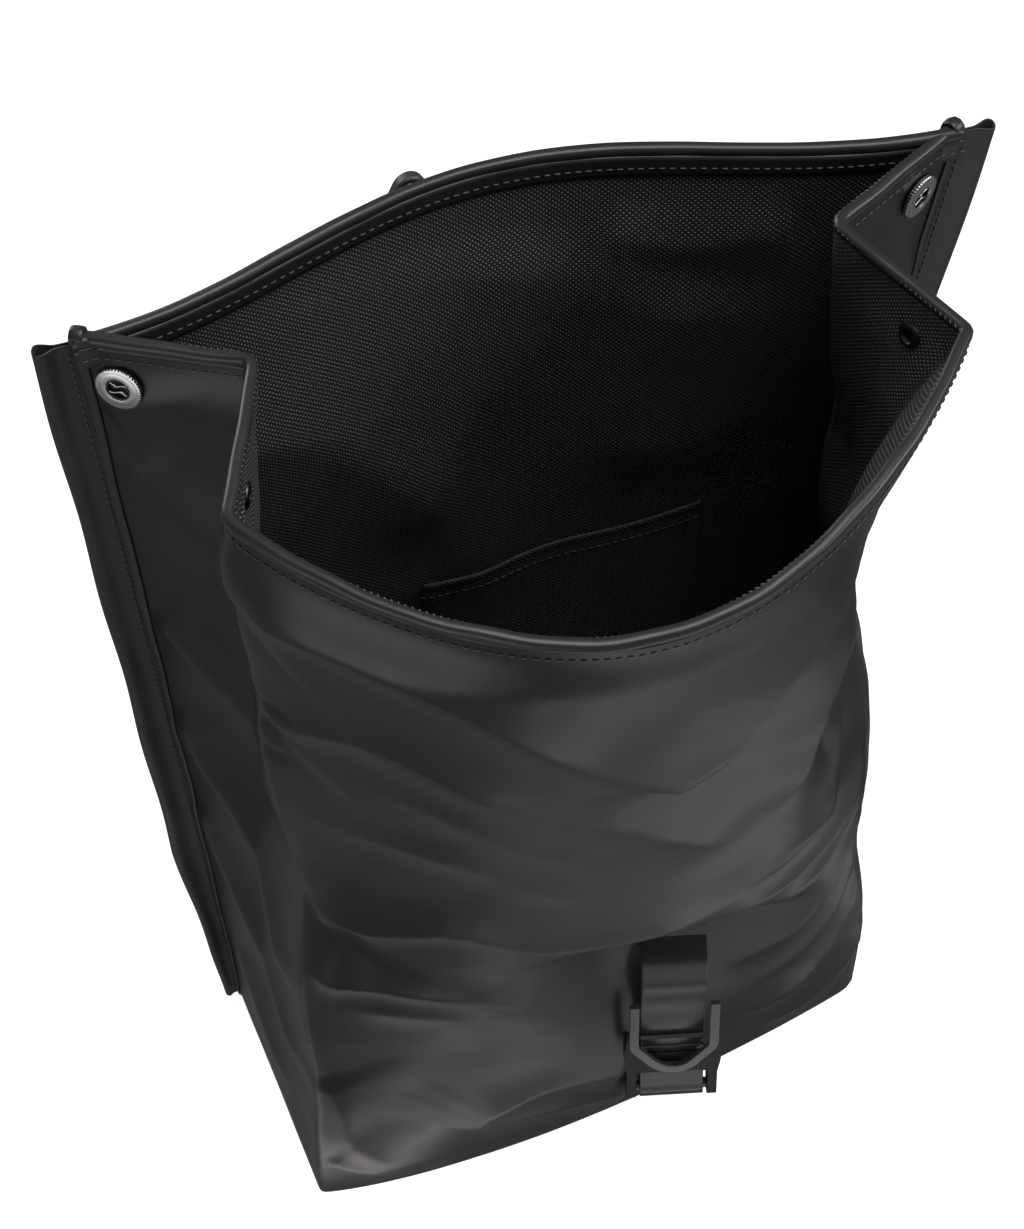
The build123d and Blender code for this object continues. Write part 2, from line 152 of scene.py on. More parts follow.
# Pushes on the wrap: place along it, height, spread along, spread in height, move in x and y
PUSHES = [
    (-142, 262, 60, 75, 10.0, 2.0),
    (-142, 408, 40, 24, 4.0, 0.0),
    (140, 158, 40, 56, -9.0, 3.0),
    (96, 430, 34, 34, -9.0, 6.0),
    (138, 352, 42, 62, -30.0, 8.0),
    (138, 250, 36, 60, -10.0, 2.0),
    (138, 440, 40, 40, -10.0, 8.0),
    (-142, 104, 50, 62, 5.5, 0.0),
]


def pushed(points, s, z):
    out = points.copy()
    for s0, z0, s_width, z_width, dx, dy in PUSHES:
        weight = bell(s, s0, s_width) * bell(z, z0, z_width) * smooth(0, 40, z) * (1 - smooth(470, 497, z))
        out[..., 0] += dx * weight
        out[..., 1] += dy * weight
    return out


def normals(grid):
    """Unit normals of a grid of points, rows going up and columns along."""
    along = np.gradient(grid, axis=1)
    up = np.gradient(grid, axis=0)
    n = np.cross(along, up)
    return n / np.maximum(np.linalg.norm(n, axis=-1, keepdims=True), 1e-9)


def bent_line(points):
    """A smooth line through a few points."""
    steps = 18
    p = np.array(points, float)
    if len(p) == 2:
        return p[0] + (p[1] - p[0]) * np.linspace(0, 1, steps)[:, None]
    knots = np.concatenate([[0], np.cumsum(np.linalg.norm(np.diff(p, axis=0), axis=1))])
    at = np.linspace(0, knots[-1], steps)
    return np.stack([curve_at(list(zip(knots, p[:, i])), at) for i in range(p.shape[1])], 1)


def fold(s, z, points, height, left, right, soft, start, end):
    """A crease along a line: full height on it, dying away to its left and right and at its ends."""
    line = bent_line(points)
    best = np.full(s.shape, 1e9)
    side = np.zeros(s.shape)
    along = np.zeros(s.shape)
    steps = len(line) - 1
    for i in range(steps):
        a, b = line[i], line[i + 1]
        d = b - a
        length2 = d @ d
        k = np.clip(((s - a[0]) * d[0] + (z - a[1]) * d[1]) / length2, 0, 1)
        ex, ez = s - a[0] - k * d[0], z - a[1] - k * d[1]
        dist = np.hypot(ex, ez)
        nearer = dist < best
        best = np.where(nearer, dist, best)
        side = np.where(nearer, d[0] * ez - d[1] * ex, side)
        along = np.where(nearer, (i + k) / steps, along)
    blend = smooth(-soft, soft, np.sign(side) * best)
    width = lerp(right, left, blend)
    profile = np.exp(-(np.sqrt(best**2 + soft**2) - soft) / width)
    ends = smooth(0, start, along) if start else 1.0
    ends = ends * (1 - smooth(1 - end, 1, along)) if end else ends
    return height * profile * ends


# Creases of the wrap: line (distance along, height), height, reach left and right of the line, softness, and
# the fades at its ends. Left of a line that runs to larger distances is above it.
PINCH = (3, 4, 1.2, 0.0, 0.6)
FRONT_FOLDS = [
    # the bulge under the rim ends in a V
    ([(-145, 456), (-128, 467), (-100, 468), (-54, 436), (-2, 372), (14, 351)], 5.5, 42, 13, 2.5, 0.02, 0.12),
    ([(88, 478), (58, 458), (36, 430), (26, 400), (14, 351)], 6.2, 10, 34, 1.4, 0.25, 0.1),
    ([(100, 470), (88, 410), (84, 350), (77, 285), (70, 236)], 7.0, 10, 26, 3.0, 0.25, 0.25),
    # long soft creases across the front
    ([(-143, 394), (-112, 409), (-72, 382), (-22, 332), (30, 264), (56, 238)], 4.5, 34, 15, 5.0, 0.02, 0.15),
    ([(-120, 374), (-96, 366), (-50, 318), (0, 262)], 2.6, 24, 14, 6.0, 0.3, 0.4),
    ([(-135, 330), (-90, 318), (-40, 270), (10, 222)], 2.2, 22, 14, 7.0, 0.3, 0.4),
    # pinches on the left edge
    ([(-144, 458), (-134, 461)], -2.2, *PINCH),
    ([(-143, 402), (-128, 406)], -1.6, *PINCH),
    ([(-143, 388), (-126, 390)], -1.4, *PINCH),
    ([(-143, 372), (-130, 373)], -1.2, *PINCH),
    # the slump above the strap
    (
        [(-142, 256), (-120, 247), (-82, 246), (-36, 212), (6, 194), (40, 182), (80, 176)],
        3.4, 26, 9, 3.0, 0.05, 0.3,
    ),
    ([(-144, 262), (-134, 242), (-122, 226), (-84, 200)], -2.6, 6, 9, 1.5, 0.0, 0.5),
    ([(-141, 208), (-106, 197), (-70, 176), (-40, 136), (-18, 96)], 4.0, 15, 7, 2.0, 0.05, 0.4),
    ([(-132, 180), (-100, 168), (-70, 148), (-50, 120)], 1.8, 12, 10, 4.0, 0.3, 0.4),
    # satin folds that fan out at the lower right
    ([(138, 262), (120, 218), (98, 186), (70, 166), (44, 160)], 5.4, 5, 15, 1.6, 0.25, 0.35),
    ([(141, 228), (124, 190), (104, 160), (78, 142), (54, 138)], 3.6, 4, 9, 1.4, 0.25, 0.4),
    ([(142, 196), (126, 158), (110, 122), (90, 94), (62, 76)], 5.0, 5, 13, 1.6, 0.25, 0.35),
    ([(142, 166), (128, 130), (114, 98), (96, 72), (70, 56)], 3.0, 4, 8, 1.4, 0.25, 0.4),
    ([(143, 136), (128, 98), (110, 60), (88, 40), (62, 36)], 3.8, 5, 11, 1.6, 0.25, 0.35),
    ([(143, 80), (132, 50), (108, 24), (76, 16)], 2.6, 5, 9, 1.6, 0.25, 0.35),
    ([(122, 300), (108, 256), (92, 222), (72, 196)], 4.0, 7, 12, 2.2, 0.4, 0.35),
    ([(104, 250), (94, 222), (78, 196), (60, 184)], 2.6, 4, 8, 1.4, 0.2, 0.4),
    ([(94, 330), (97, 290), (104, 262), (118, 238)], -2.8, 14, 12, 6.0, 0.3, 0.4),
    # lower left
    ([(12, 40), (-14, 52), (-34, 58), (-58, 52), (-78, 34)], 4.5, 9, 26, 3.0, 0.1, 0.35),
    ([(14, 14), (-10, 26), (-40, 34), (-70, 44), (-98, 62)], 2.0, 8, 10, 3.0, 0.1, 0.4),
    ([(-141, 118), (-133, 86), (-126, 52), (-104, 26), (-64, 12)], 3.0, 12, 14, 4.0, 0.1, 0.4),
    ([(-140, 40), (-122, 28), (-96, 22)], 2.0, 8, 8, 3.0, 0.1, 0.5),
]
LEFT_FOLDS = [
    ([(-257, 462), (-230, 476), (-207, 497)], 3.5, 16, 14, 4.0, 0.1, 0.1),
    ([(-258, 440), (-228, 412), (-190, 386), (-152, 362)], 4.0, 22, 18, 6.0, 0.15, 0.3),
    ([(-256, 340), (-225, 318), (-188, 292), (-158, 266)], 5.0, 22, 16, 5.0, 0.1, 0.25),
    ([(-259, 268), (-220, 228), (-184, 196), (-152, 160)], 6.0, 24, 16, 5.0, 0.1, 0.2),
    ([(-256, 196), (-226, 158), (-192, 118), (-156, 84)], 5.0, 18, 14, 4.0, 0.1, 0.2),
    ([(-240, 96), (-212, 62), (-176, 36)], 3.5, 16, 12, 4.0, 0.2, 0.3),
]
RIGHT_FOLDS = [
    ([(257, 440), (226, 420), (190, 388), (158, 352)], 5.0, 20, 18, 5.0, 0.1, 0.3),
    ([(257, 330), (222, 312), (186, 280), (156, 250)], 5.0, 20, 18, 5.0, 0.1, 0.3),
    ([(258, 238), (220, 206), (182, 182), (154, 150)], 5.5, 20, 16, 5.0, 0.1, 0.25),
    ([(254, 150), (222, 118), (188, 88), (158, 66)], 4.0, 18, 14, 4.0, 0.1, 0.3),
]
FRONT_FOLD_GAIN = 1.35
FRONT_FOLD_SOFTNESS = 0.25
RIM_DIP = 9.0        # the middle of the front rim hangs this much lower


def ripple(s, z):
    """Slight unevenness that fabric always has."""
    a = np.sin(s / 17 + 1.3 * np.sin(z / 31)) * np.sin(z / 23 + 0.9 * np.sin(s / 29))
    b = np.sin(s / 7.3 + z / 11.1) * np.sin(z / 8.7 - s / 13.7)
    return 0.5 * a + 0.12 * b


def wrap_grid(s, z):
    """Front and gussets with pushes, creases and the dip of the rim."""
    grid = pushed(wrap_surface(s, z), s, z)
    height = ripple(s, z)
    for line, high, left, right, soft, *ends in FRONT_FOLDS:
        high, soft = FRONT_FOLD_GAIN * high, FRONT_FOLD_SOFTNESS * soft
        height = height + fold(s, z, line, high, left, right, soft, *ends)
    for line, *shape in LEFT_FOLDS + RIGHT_FOLDS:
        height = height + fold(s, z, line, *shape) * (1 - 0.85 * bell(np.abs(s), 261, 14))
    at_corners = 0.7 * bell(s, 149, 10) + 0.5 * bell(s, -142, 8)
    calm = (1 - smooth(470, 494, z)) * smooth(0, 14, z) * (1 - at_corners)
    grid = grid + normals(grid) * (height * calm)[..., None]
    tuck = 2.2 * (1 - smooth(0, 6, z)) ** 2
    grid = grid - normals(grid) * tuck[..., None]
    grid[..., 2] -= RIM_DIP * bell(s, -12, 78) * smooth(330, 500, z)
    return grid


BACK_FOLDS = [
    ([(0.06, 430), (0.2, 410), (0.4, 330), (0.5, 230)], 6.0, 26, 22, 7.0, 0.15, 0.3),
    ([(0.55, 470), (0.5, 420), (0.42, 360), (0.3, 300)], 5.0, 22, 26, 7.0, 0.15, 0.3),
    ([(0.6, 462), (0.72, 452), (0.85, 462)], 4.0, 14, 18, 5.0, 0.2, 0.2),
    ([(0.75, 440), (0.68, 380), (0.7, 300)], 5.0, 26, 22, 8.0, 0.2, 0.3),
    ([(0.15, 330), (0.3, 290), (0.45, 280)], 3.0, 20, 18, 7.0, 0.2, 0.3),
]


def back_lining_folds(t, z):
    """Slack of the lining over the back, as a distance into the bag."""
    height = np.zeros(t.shape)
    for line, *shape in BACK_FOLDS:
        height = height + fold(t * 2 * HALF_W, z, [(a * 2 * HALF_W, b) for a, b in line], *shape)
    inside = smooth(0.04, 0.16, t) * smooth(0.04, 0.16, 1 - t)
    return height * (1 - smooth(462, 486, z)) * smooth(20, 120, z) * inside


# ---- Mesh tools ----


def quads(rows, cols, ring=False):
    r, c = np.meshgrid(np.arange(rows - 1), np.arange(cols if ring else cols - 1), indexing="ij")
    d = (c + 1) % cols
    return np.stack([r * cols + c, r * cols + d, (r + 1) * cols + d, (r + 1) * cols + c], -1).reshape(-1, 4)


def make_piece(name, points, faces, uv=None):
    """A mesh object from points in millimetres; uv is one pair per point, in millimetres."""
    points = np.asarray(points, float).reshape(-1, 3)
    mesh = bpy.data.meshes.new(name)
    mesh.from_pydata((points * MM).tolist(), [], [list(map(int, f)) for f in faces])
    if uv is not None:
        layer = mesh.uv_layers.new(name="cloth")
        index = np.zeros(len(mesh.loops), int)
        mesh.loops.foreach_get("vertex_index", index)
        layer.data.foreach_set("uv", (np.asarray(uv, float).reshape(-1, 2) * MM)[index].ravel())
    mesh.update()
    mesh.polygons.foreach_set("use_smooth", [True] * len(mesh.polygons))
    piece = bpy.data.objects.new(name, mesh)
    bpy.context.scene.collection.objects.link(piece)
    return piece


def dress(piece, material, slot, body, *stands_for):
    if material:
        piece.data.materials.append(material)
    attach(piece, body)
    if stands_for:
        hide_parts(*stands_for)
    return piece


def sharpen(piece, angle=35):
    """Creased shading for pieces that have real edges."""
    with bpy.context.temp_override(active_object=piece, selected_editable_objects=[piece], object=piece):
        bpy.ops.object.shade_smooth_by_angle(angle=math.radians(angle))
    return piece


def round_edges(piece, width, segments=2):
    bevel = piece.modifiers.new("edges", "BEVEL")
    bevel.width = width * MM
    bevel.segments = segments
    bevel.limit_method = "ANGLE"
    bevel.angle_limit = math.radians(30)
    bevel.harden_normals = False


def sheet(name, outer, inner, uv=None):
    """A thin closed skin between two grids of the same size."""
    rows, cols = outer.shape[:2]
    count = rows * cols
    top = quads(rows, cols)
    grid = np.arange(count).reshape(rows, cols)
    rim = np.concatenate([grid[0, :], grid[1:, -1], grid[-1, -2::-1], grid[-2:0:-1, 0]])
    after = np.roll(rim, -1)
    edge = np.stack([after, rim, rim + count, after + count], -1)
    faces = np.concatenate([top, top[:, ::-1] + count, edge])
    points = np.concatenate([outer.reshape(-1, 3), inner.reshape(-1, 3)])
    pairs = None if uv is None else np.concatenate([uv.reshape(-1, 2)] * 2)
    return make_piece(name, points, faces, pairs)


def closed_loft(sections, ring=False):
    """Points and faces of a solid through closed loops, with flat ends or joined end to end."""
    sections = np.asarray(sections, float)
    rows, cols = sections.shape[:2]
    faces = quads(rows, cols, ring=True).tolist()
    last = (rows - 1) * cols
    if ring:
        faces += [[last + c, last + (c + 1) % cols, (c + 1) % cols, c] for c in range(cols)]
    else:
        faces += [list(range(cols))[::-1], [last + c for c in range(cols)]]
    return sections.reshape(-1, 3), faces


def loft(name, sections, uv=None):
    return make_piece(name, *closed_loft(sections), uv)


def unit(v):
    return v / np.maximum(np.linalg.norm(v, axis=-1, keepdims=True), 1e-9)


def sweep_loops(path, across, profile):
    """A closed profile carried along a path; its first axis points along across."""
    path = np.asarray(path, float)
    tangent = unit(np.gradient(path, axis=0))
    across = np.broadcast_to(np.asarray(across, float), path.shape)
    across = unit(across - (across * tangent).sum(-1, keepdims=True) * tangent)
    other = np.cross(tangent, across)
    profile = np.asarray(profile, float)
    if profile.ndim == 2:
        profile = np.broadcast_to(profile, (len(path), *profile.shape))
    return path[:, None] + profile[..., :1] * across[:, None] + profile[..., 1:] * other[:, None]


def run_along(path):
    return np.concatenate([[0], np.cumsum(np.linalg.norm(np.diff(path, axis=0), axis=1))])


def tube_uv(across, path):
    """Places round a tube and along it."""
    return np.stack(np.broadcast_arrays(np.asarray(across)[None], run_along(path)[:, None]), -1)


def rounded_box(width, height, power, count):
    a = np.linspace(0, 2 * math.pi, count, endpoint=False)
    c, s = np.cos(a), np.sin(a)
    x = np.sign(c) * np.abs(c) ** (2 / power) * width / 2
    y = np.sign(s) * np.abs(s) ** (2 / power) * height / 2
    return np.stack([x, y], -1)


def resample(path, step, *others):
    """Points along a path at even steps, with any values that go with them."""
    path = np.asarray(path, float)
    run = run_along(path)
    at = np.arange(0, run[-1], step)
    pick = lambda v: np.stack([np.interp(at, run, np.asarray(v)[:, i]) for i in range(np.shape(v)[1])], 1)
    return [pick(path)] + [pick(o) for o in others]


def sew(name, path, out, length, gap, radius=0.34, sink=0.1, slant=0.0, thread=None, body="bag"):
    """A row of thread stitches lying on a surface along a path."""
    fine, facing = resample(path, length + gap, np.broadcast_to(out, path.shape))
    ahead = unit(np.gradient(fine, axis=0))
    facing = unit(facing)
    side = np.cross(ahead, facing)
    ahead = unit(ahead + slant * side)
    rings, sides = ((-0.5, 0.35), (-0.36, 0.95), (0.36, 0.95), (0.5, 0.35)), 6
    turn = np.linspace(0, 2 * math.pi, sides, endpoint=False)
    points, faces = [], []
    for centre, a, n, b in zip(fine, ahead, facing, np.cross(ahead, facing)):
        first = len(points) * len(rings) * sides
        loop = []
        for k, r in rings:
            middle = centre + a * (k * length) + n * (radius * (0.5 if abs(k) > 0.4 else 1.0) - sink)
            loop.append(middle + r * radius * (np.cos(turn)[:, None] * n + np.sin(turn)[:, None] * b))
        points.append(np.array(loop))
        faces += (quads(len(rings), sides, ring=True) + first).tolist()
        faces += [[first + i for i in range(sides)][::-1], [first + 3 * sides + i for i in range(sides)]]
    dress(make_piece(name, np.concatenate(points), faces), thread or THREAD, None, body)


def lathe_loops(profile, count):
    """Circles for radius and height pairs."""
    a = np.linspace(0, 2 * math.pi, count, endpoint=False)
    return np.array([[(r * math.cos(t), r * math.sin(t), h) for t in a] for r, h in profile])


def join_meshes(parts):
    """Points and faces of several closed meshes as one."""
    points, faces, first = [], [], 0
    for p, f in parts:
        points.append(np.asarray(p, float).reshape(-1, 3))
        faces += [[i + first for i in face] for face in f]
        first += len(points[-1])
    return np.concatenate(points), faces


def hard_piece(name, place, parts, material, slot, body, *stands_for, angle=35, width=0, segments=2):
    """Closed meshes in one piece on a plane, with its edges shaded sharp and rounded if a width is given."""
    points, faces = join_meshes(parts)
    made = make_piece(name, place.put(points), faces)
    sharpen(dress(made, material, slot, body, *stands_for), angle)
    if width:
        round_edges(made, width, segments)


def cuboid(x0, x1, y0, y1, z0, z1):
    low = [(x0, y0, z0), (x1, y0, z0), (x1, y1, z0), (x0, y1, z0)]
    high = [(x, y, z1) for x, y, _ in low]
    return closed_loft([low, high])


def fillet(points, radius, closed=False, per=7):
    """A polyline with its corners turned into arcs."""
    p = np.array(points, float)
    radii = np.broadcast_to(np.array(radius, float), len(p))
    out = []
    for i in range(len(p)):
        if not closed and i in (0, len(p) - 1):
            out.append(p[i])
            continue
        a, b = unit(p[i - 1] - p[i]), unit(p[(i + 1) % len(p)] - p[i])
        half = math.acos(np.clip(a @ b, -1, 1)) / 2
        back = radii[i] / math.tan(half)
        middle = p[i] + unit(a + b) * radii[i] / math.sin(half)
        start, end = p[i] + a * back - middle, p[i] + b * back - middle
        for k in np.linspace(0, 1, per):
            turn = unit(start * (1 - k) + end * k)
            out.append(middle + turn * radii[i])
    return np.array(out)


def ribbon_profile(width, thick, chamfer, across):
    """A flat strip's section; its first and middle sides are the cut edges."""
    w, t, k = width / 2, thick / 2, chamfer
    top = [(x, t) for x in np.linspace(w - k, k - w, across)]
    low = [(x, -t) for x in np.linspace(k - w, w - k, across)]
    return np.array([(w, k - t), (w, t - k)] + top + [(-w, t - k), (-w, k - t)] + low)


def ribbon(name, path, across, width, thick, material, edge):
    """A strap with cut edges of their own material."""
    across_count = 8
    profile = ribbon_profile(width, thick, min(0.35, thick / 4), across_count)
    loops = sweep_loops(path, across, profile)
    cols = len(profile)
    made = loft(name, loops, tube_uv(profile[:, 0], path))
    for each in (material, edge):
        made.data.materials.append(each)
    index = np.zeros(len(made.data.polygons), int)
    sides = (len(path) - 1) * cols
    column = np.arange(sides) % cols
    index[:sides] = (column == 0) | (column == across_count + 2)
    index[sides:] = 1
    made.data.polygons.foreach_set("material_index", index.tolist())
    return sharpen(made)


class Place:
    """A plane to build on: x across, y up along it, z out of it."""

    def __init__(self, origin, x, z):
        self.origin = np.array(origin, float)
        self.z = unit(np.array(z, float))
        x = np.array(x, float)
        self.x = unit(x - (x @ self.z) * self.z)
        self.y = np.cross(self.z, self.x)

    def put(self, points):
        p = np.asarray(points, float)
        return self.origin + p[..., :1] * self.x + p[..., 1:2] * self.y + p[..., 2:3] * self.z


# ---- Materials ----


def new_material(name):
    material = bpy.data.materials.new(name)
    material.use_nodes = True
    tree = material.node_tree
    where = node(tree, "ShaderNodeTexCoord").outputs["Object"]
    return material, tree, tree.nodes["Principled BSDF"], where


def node(tree, kind, **values):
    made = tree.nodes.new(kind)
    for key, value in values.items():
        if key.startswith("in_"):
            made.inputs[key[3:].replace("_", " ")].default_value = value
        else:
            setattr(made, key, value)
    return made


def noise(tree, where, scale, detail, roughness=0.55, stretch=(1, 1, 1)):
    mapping = node(tree, "ShaderNodeMapping")
    mapping.inputs["Scale"].default_value = stretch
    tree.links.new(where, mapping.inputs["Vector"])
    made = node(tree, "ShaderNodeTexNoise", in_Scale=scale, in_Detail=detail, in_Roughness=roughness)
    tree.links.new(mapping.outputs["Vector"], made.inputs["Vector"])
    return made.outputs["Fac"]


def paint(tree, shader, value, stops):
    """Base colour from a value, through a ramp of positions and colours."""
    made = node(tree, "ShaderNodeValToRGB")
    elements = made.color_ramp.elements
    for element, (position, color) in zip(elements, (stops[0], stops[-1])):
        element.position = position
        element.color = (*color, 1)
    for position, color in stops[1:-1]:
        elements.new(position).color = (*color, 1)
    tree.links.new(value, made.inputs["Fac"])
    tree.links.new(made.outputs["Color"], shader.inputs["Base Color"])


def maths(tree, kind, a, b=None, c=None):
    made = node(tree, "ShaderNodeMath", operation=kind)
    for socket, value in zip(made.inputs, (a, b, c)):
        if value is None:
            continue
        if isinstance(value, (int, float)):
            socket.default_value = value
        else:
            tree.links.new(value, socket)
    return made.outputs[0]


def remap(tree, value, low, high):
    made = node(tree, "ShaderNodeMapRange")
    made.inputs["To Min"].default_value = low
    made.inputs["To Max"].default_value = high
    tree.links.new(value, made.inputs["Value"])
    return made.outputs["Result"]


def bump(tree, shader, height, strength, distance):
    made = node(tree, "ShaderNodeBump", in_Strength=strength, in_Distance=distance)
    tree.links.new(height, made.inputs["Height"])
    tree.links.new(made.outputs["Normal"], shader.inputs["Normal"])


def grey(level, warmth=0.0):
    return (level * (1 + warmth), level, level * (1 - warmth))


def coated(name, level=0.0045, rough=(0.34, 0.44), grain=0.16, specular=0.3):
    """Smooth coated fabric: a fine skin grain, faint cloudiness and a soft gloss."""
    material, tree, shader, where = new_material(name)
    shader.inputs["Specular IOR Level"].default_value = specular
    cloud = noise(tree, where, 26, 5)
    paint(tree, shader, cloud, [(0.3, grey(level * 0.85, 0.03)), (0.7, grey(level * 1.2, 0.02))])
    patches = noise(tree, where, 90, 6, 0.6)
    tree.links.new(remap(tree, patches, *rough), shader.inputs["Roughness"])
    skin = noise(tree, where, 1500, 2, 0.5)
    slubs = noise(tree, where, 340, 3, 0.6)
    both = maths(tree, "MULTIPLY_ADD", slubs, 0.6, skin)
    bump(tree, shader, both, grain, 0.0002)
    return material


def woven(name, pitch, dark, light, relief=0.0003, rough=0.75, lie="UV", up="Y"):
    """Coarse weave: threads cross over and under, with a painted highlight on each second crossing; light is
    the colour of that painted highlight.
    """
    material, tree, shader, where = new_material(name)
    uv = node(tree, "ShaderNodeTexCoord").outputs[lie]
    split = node(tree, "ShaderNodeSeparateXYZ")
    tree.links.new(uv, split.inputs["Vector"])
    turns = math.pi / (pitch * MM)
    across = maths(tree, "SINE", maths(tree, "MULTIPLY", split.outputs["X"], turns))
    along = maths(tree, "SINE", maths(tree, "MULTIPLY", split.outputs[up], turns))
    over = maths(tree, "MULTIPLY", across, along)
    wobble = noise(tree, where, 420, 3)
    raised = maths(tree, "MAXIMUM", over, 0.0)
    # painted highlight: the raised crossings are coloured lighter, as a glint of the lamps, not by real light
    painted_glint = maths(tree, "MULTIPLY", raised, remap(tree, wobble, 0.45, 1.45))
    between_them = tuple(lerp(np.array(dark), np.array(light), 0.35))
    paint(tree, shader, painted_glint, [(0.15, dark), (0.5, between_them), (0.95, light)])
    shader.inputs["Roughness"].default_value = rough
    under = maths(tree, "ABSOLUTE", over)
    height = maths(tree, "MULTIPLY_ADD", under, 0.45, raised)
    bump(tree, shader, height, 0.9, relief)
    return material


def metal(name, level, rough, warmth=0.01, grain=0.15, streak=(1, 1, 1), metallic=1.0, specular=0.5):
    material, tree, shader, where = new_material(name)
    shader.inputs["Specular IOR Level"].default_value = specular
    brushed = noise(tree, where, 900, 3, 0.6, streak)
    worn = noise(tree, where, 160, 4)
    paint(tree, shader, worn, [(0.25, grey(level * 0.8, warmth)), (0.75, grey(level * 1.2, warmth))])
    tree.links.new(remap(tree, brushed, rough * 0.8, rough * 1.25), shader.inputs["Roughness"])
    shader.inputs["Metallic"].default_value = metallic
    bump(tree, shader, brushed, grain, 0.0001)
    return material


def thread(name, level):
    """Twisted sewing thread."""
    material, tree, shader, where = new_material(name)
    wave = node(tree, "ShaderNodeTexWave", in_Scale=900.0, in_Distortion=1.5)
    wave.bands_direction = "DIAGONAL"
    tree.links.new(where, wave.inputs["Vector"])
    paint(tree, shader, wave.outputs["Fac"], [(0.2, grey(level * 0.6)), (0.8, grey(level * 1.3))])
    shader.inputs["Roughness"].default_value = 0.6
    bump(tree, shader, wave.outputs["Fac"], 0.4, 0.0001)
    return material


SHELL = coated("coated_shell")
HEM = coated("coated_hem", 0.012, (0.32, 0.42), 0.1)
WING = coated("coated_wing", 0.0115, (0.38, 0.48), 0.2)
LEATHER = coated("satin_leather", 0.009, (0.24, 0.34), 0.3, 0.22)
EDGE = coated("cut_edge", 0.05, (0.5, 0.6), 0.4)
# The last colour given to each weave is its painted highlight.
LINING = woven("woven_lining", 1.1, grey(0.0022), (0.14, 0.14, 0.142))
MESH = woven("spacer_mesh", 2.6, grey(0.004), grey(0.026), 0.0008, 0.8, "Object", "Z")
PAD_CLOTH = woven("pad_cloth", 1.2, grey(0.005), grey(0.018), 0.0003, 0.7, "Object", "Z")
WEBBING = woven("ribbed_webbing", 1.6, grey(0.008), grey(0.035), 0.0004, 0.6)
PLASTIC = coated("moulded_plastic", 0.014, (0.35, 0.5), 0.25)
BOARD = coated("base_board", 0.03, (0.6, 0.7), 0.3)
GUNMETAL = metal("gunmetal", 0.34, 0.26)
# The own dark colour of the collars and eyelets, and painted shade on the studs, which are gunmetal like the
# sockets.
DARK_AND_SHADED_METAL = metal("dark_and_shaded_gunmetal", 0.06, 0.34)
DARKPAINT = metal("dark_paint", 0.006, 0.5, 0.0, 0.12, (1, 6, 1), 0.0, 0.12)
PAINT = metal("satin_paint", 0.02, 0.42, 0.0, 0.1, (1, 6, 1), 0.0)
THREAD = thread("dark_thread", 0.02)
PALE_THREAD = thread("grey_thread", 0.045)
LIP_THREAD = thread("zigzag_thread", 0.075)

# ---- Shell, linings and base ----

SKIN = 1.6           # thickness of the outer fabric that is seen
LINING_DEPTH = 3.0
LINING_SKIN = 0.7
STEP = 2.0           # spacing of the shell's points
BACK_CLOTH = 300     # width of the cloth over the back, and of the lining over it
BACK_LINING_CLOTH = 320


def spaced(low, high, step=STEP):
    return np.linspace(low, high, int(round((high - low) / step)) + 1)


shell_heights = np.concatenate([[0, 1, 2.2, 4, 6], spaced(8, TOP)])
wrap_s, wrap_z = np.meshgrid(spaced(-WRAP_END, WRAP_END), shell_heights)
wrap = wrap_grid(wrap_s, wrap_z)
wrap_out = normals(wrap)
wrap_uv = np.stack([wrap_s, wrap_z], -1)
wrap_shell = sheet("bag_wrap", wrap, wrap - wrap_out * SKIN, wrap_uv)
dress(wrap_shell, SHELL, "shell", "bag", "front_panel", "left_gusset", "right_gusset")

back_t, back_z = np.meshgrid(np.linspace(1, 0, 150), shell_heights)
back = back_surface(back_t, back_z)
back_out = normals(back)
calm_ends = smooth(0, 20, back_z) * (1 - smooth(470, 492, back_z))
back = back + back_out * (0.7 * ripple(back_t * BACK_CLOTH, back_z) * calm_ends)[..., None]
back_shell = sheet("bag_back", back, back - back_out * SKIN, np.stack([back_t * BACK_CLOTH, back_z], -1))
dress(back_shell, SHELL, "shell", "bag", "back_panel")

LINING_FOOT = 7.0
LINING_TUCK = 1.75   # depth of the lining where it meets a back seam
WRAP_LINED_TO = 255  # distance along the wrap at which the lining ends
BACK_LINED_TO = 0.022  # the same on the back, as a share of its width
lined_rows = wrap_z[:, 0] >= LINING_FOOT


def line_with(name, surface, out, depth, columns, uv, *stands_for):
    """Lining cloth at a depth inside a surface, over some of its columns."""
    layers = [surface - out * d for d in (depth, depth + LINING_SKIN)]
    outer, inner, uv = (grid[lined_rows][:, columns] for grid in (*layers, uv))
    dress(sheet(name, outer, inner, uv), LINING, "lining", "bag", *stands_for)


wrap_depth = lerp(LINING_TUCK, LINING_DEPTH, smooth(WRAP_LINED_TO, 236, np.abs(wrap_s)))[..., None]
inside_wrap = np.abs(wrap_s[0]) <= WRAP_LINED_TO
wrap_linings = ("front_lining", "left_lining", "right_lining")
line_with("lining_wrap", wrap, wrap_out, wrap_depth, inside_wrap, wrap_uv, *wrap_linings)
end_gap = np.minimum(back_t, 1 - back_t)
back_depth = lerp(LINING_TUCK, LINING_DEPTH, smooth(BACK_LINED_TO, 0.08, end_gap))
back_depth = (back_depth + back_lining_folds(back_t, back_z))[..., None]
back_uv = np.stack([back_t * BACK_LINING_CLOTH, back_z], -1)
line_with("lining_back", back, back_out, back_depth, end_gap[0] > BACK_LINED_TO, back_uv, "back_lining")


BASE_OUTLINE_Z = 4.0  # height at which the outline of the base is taken


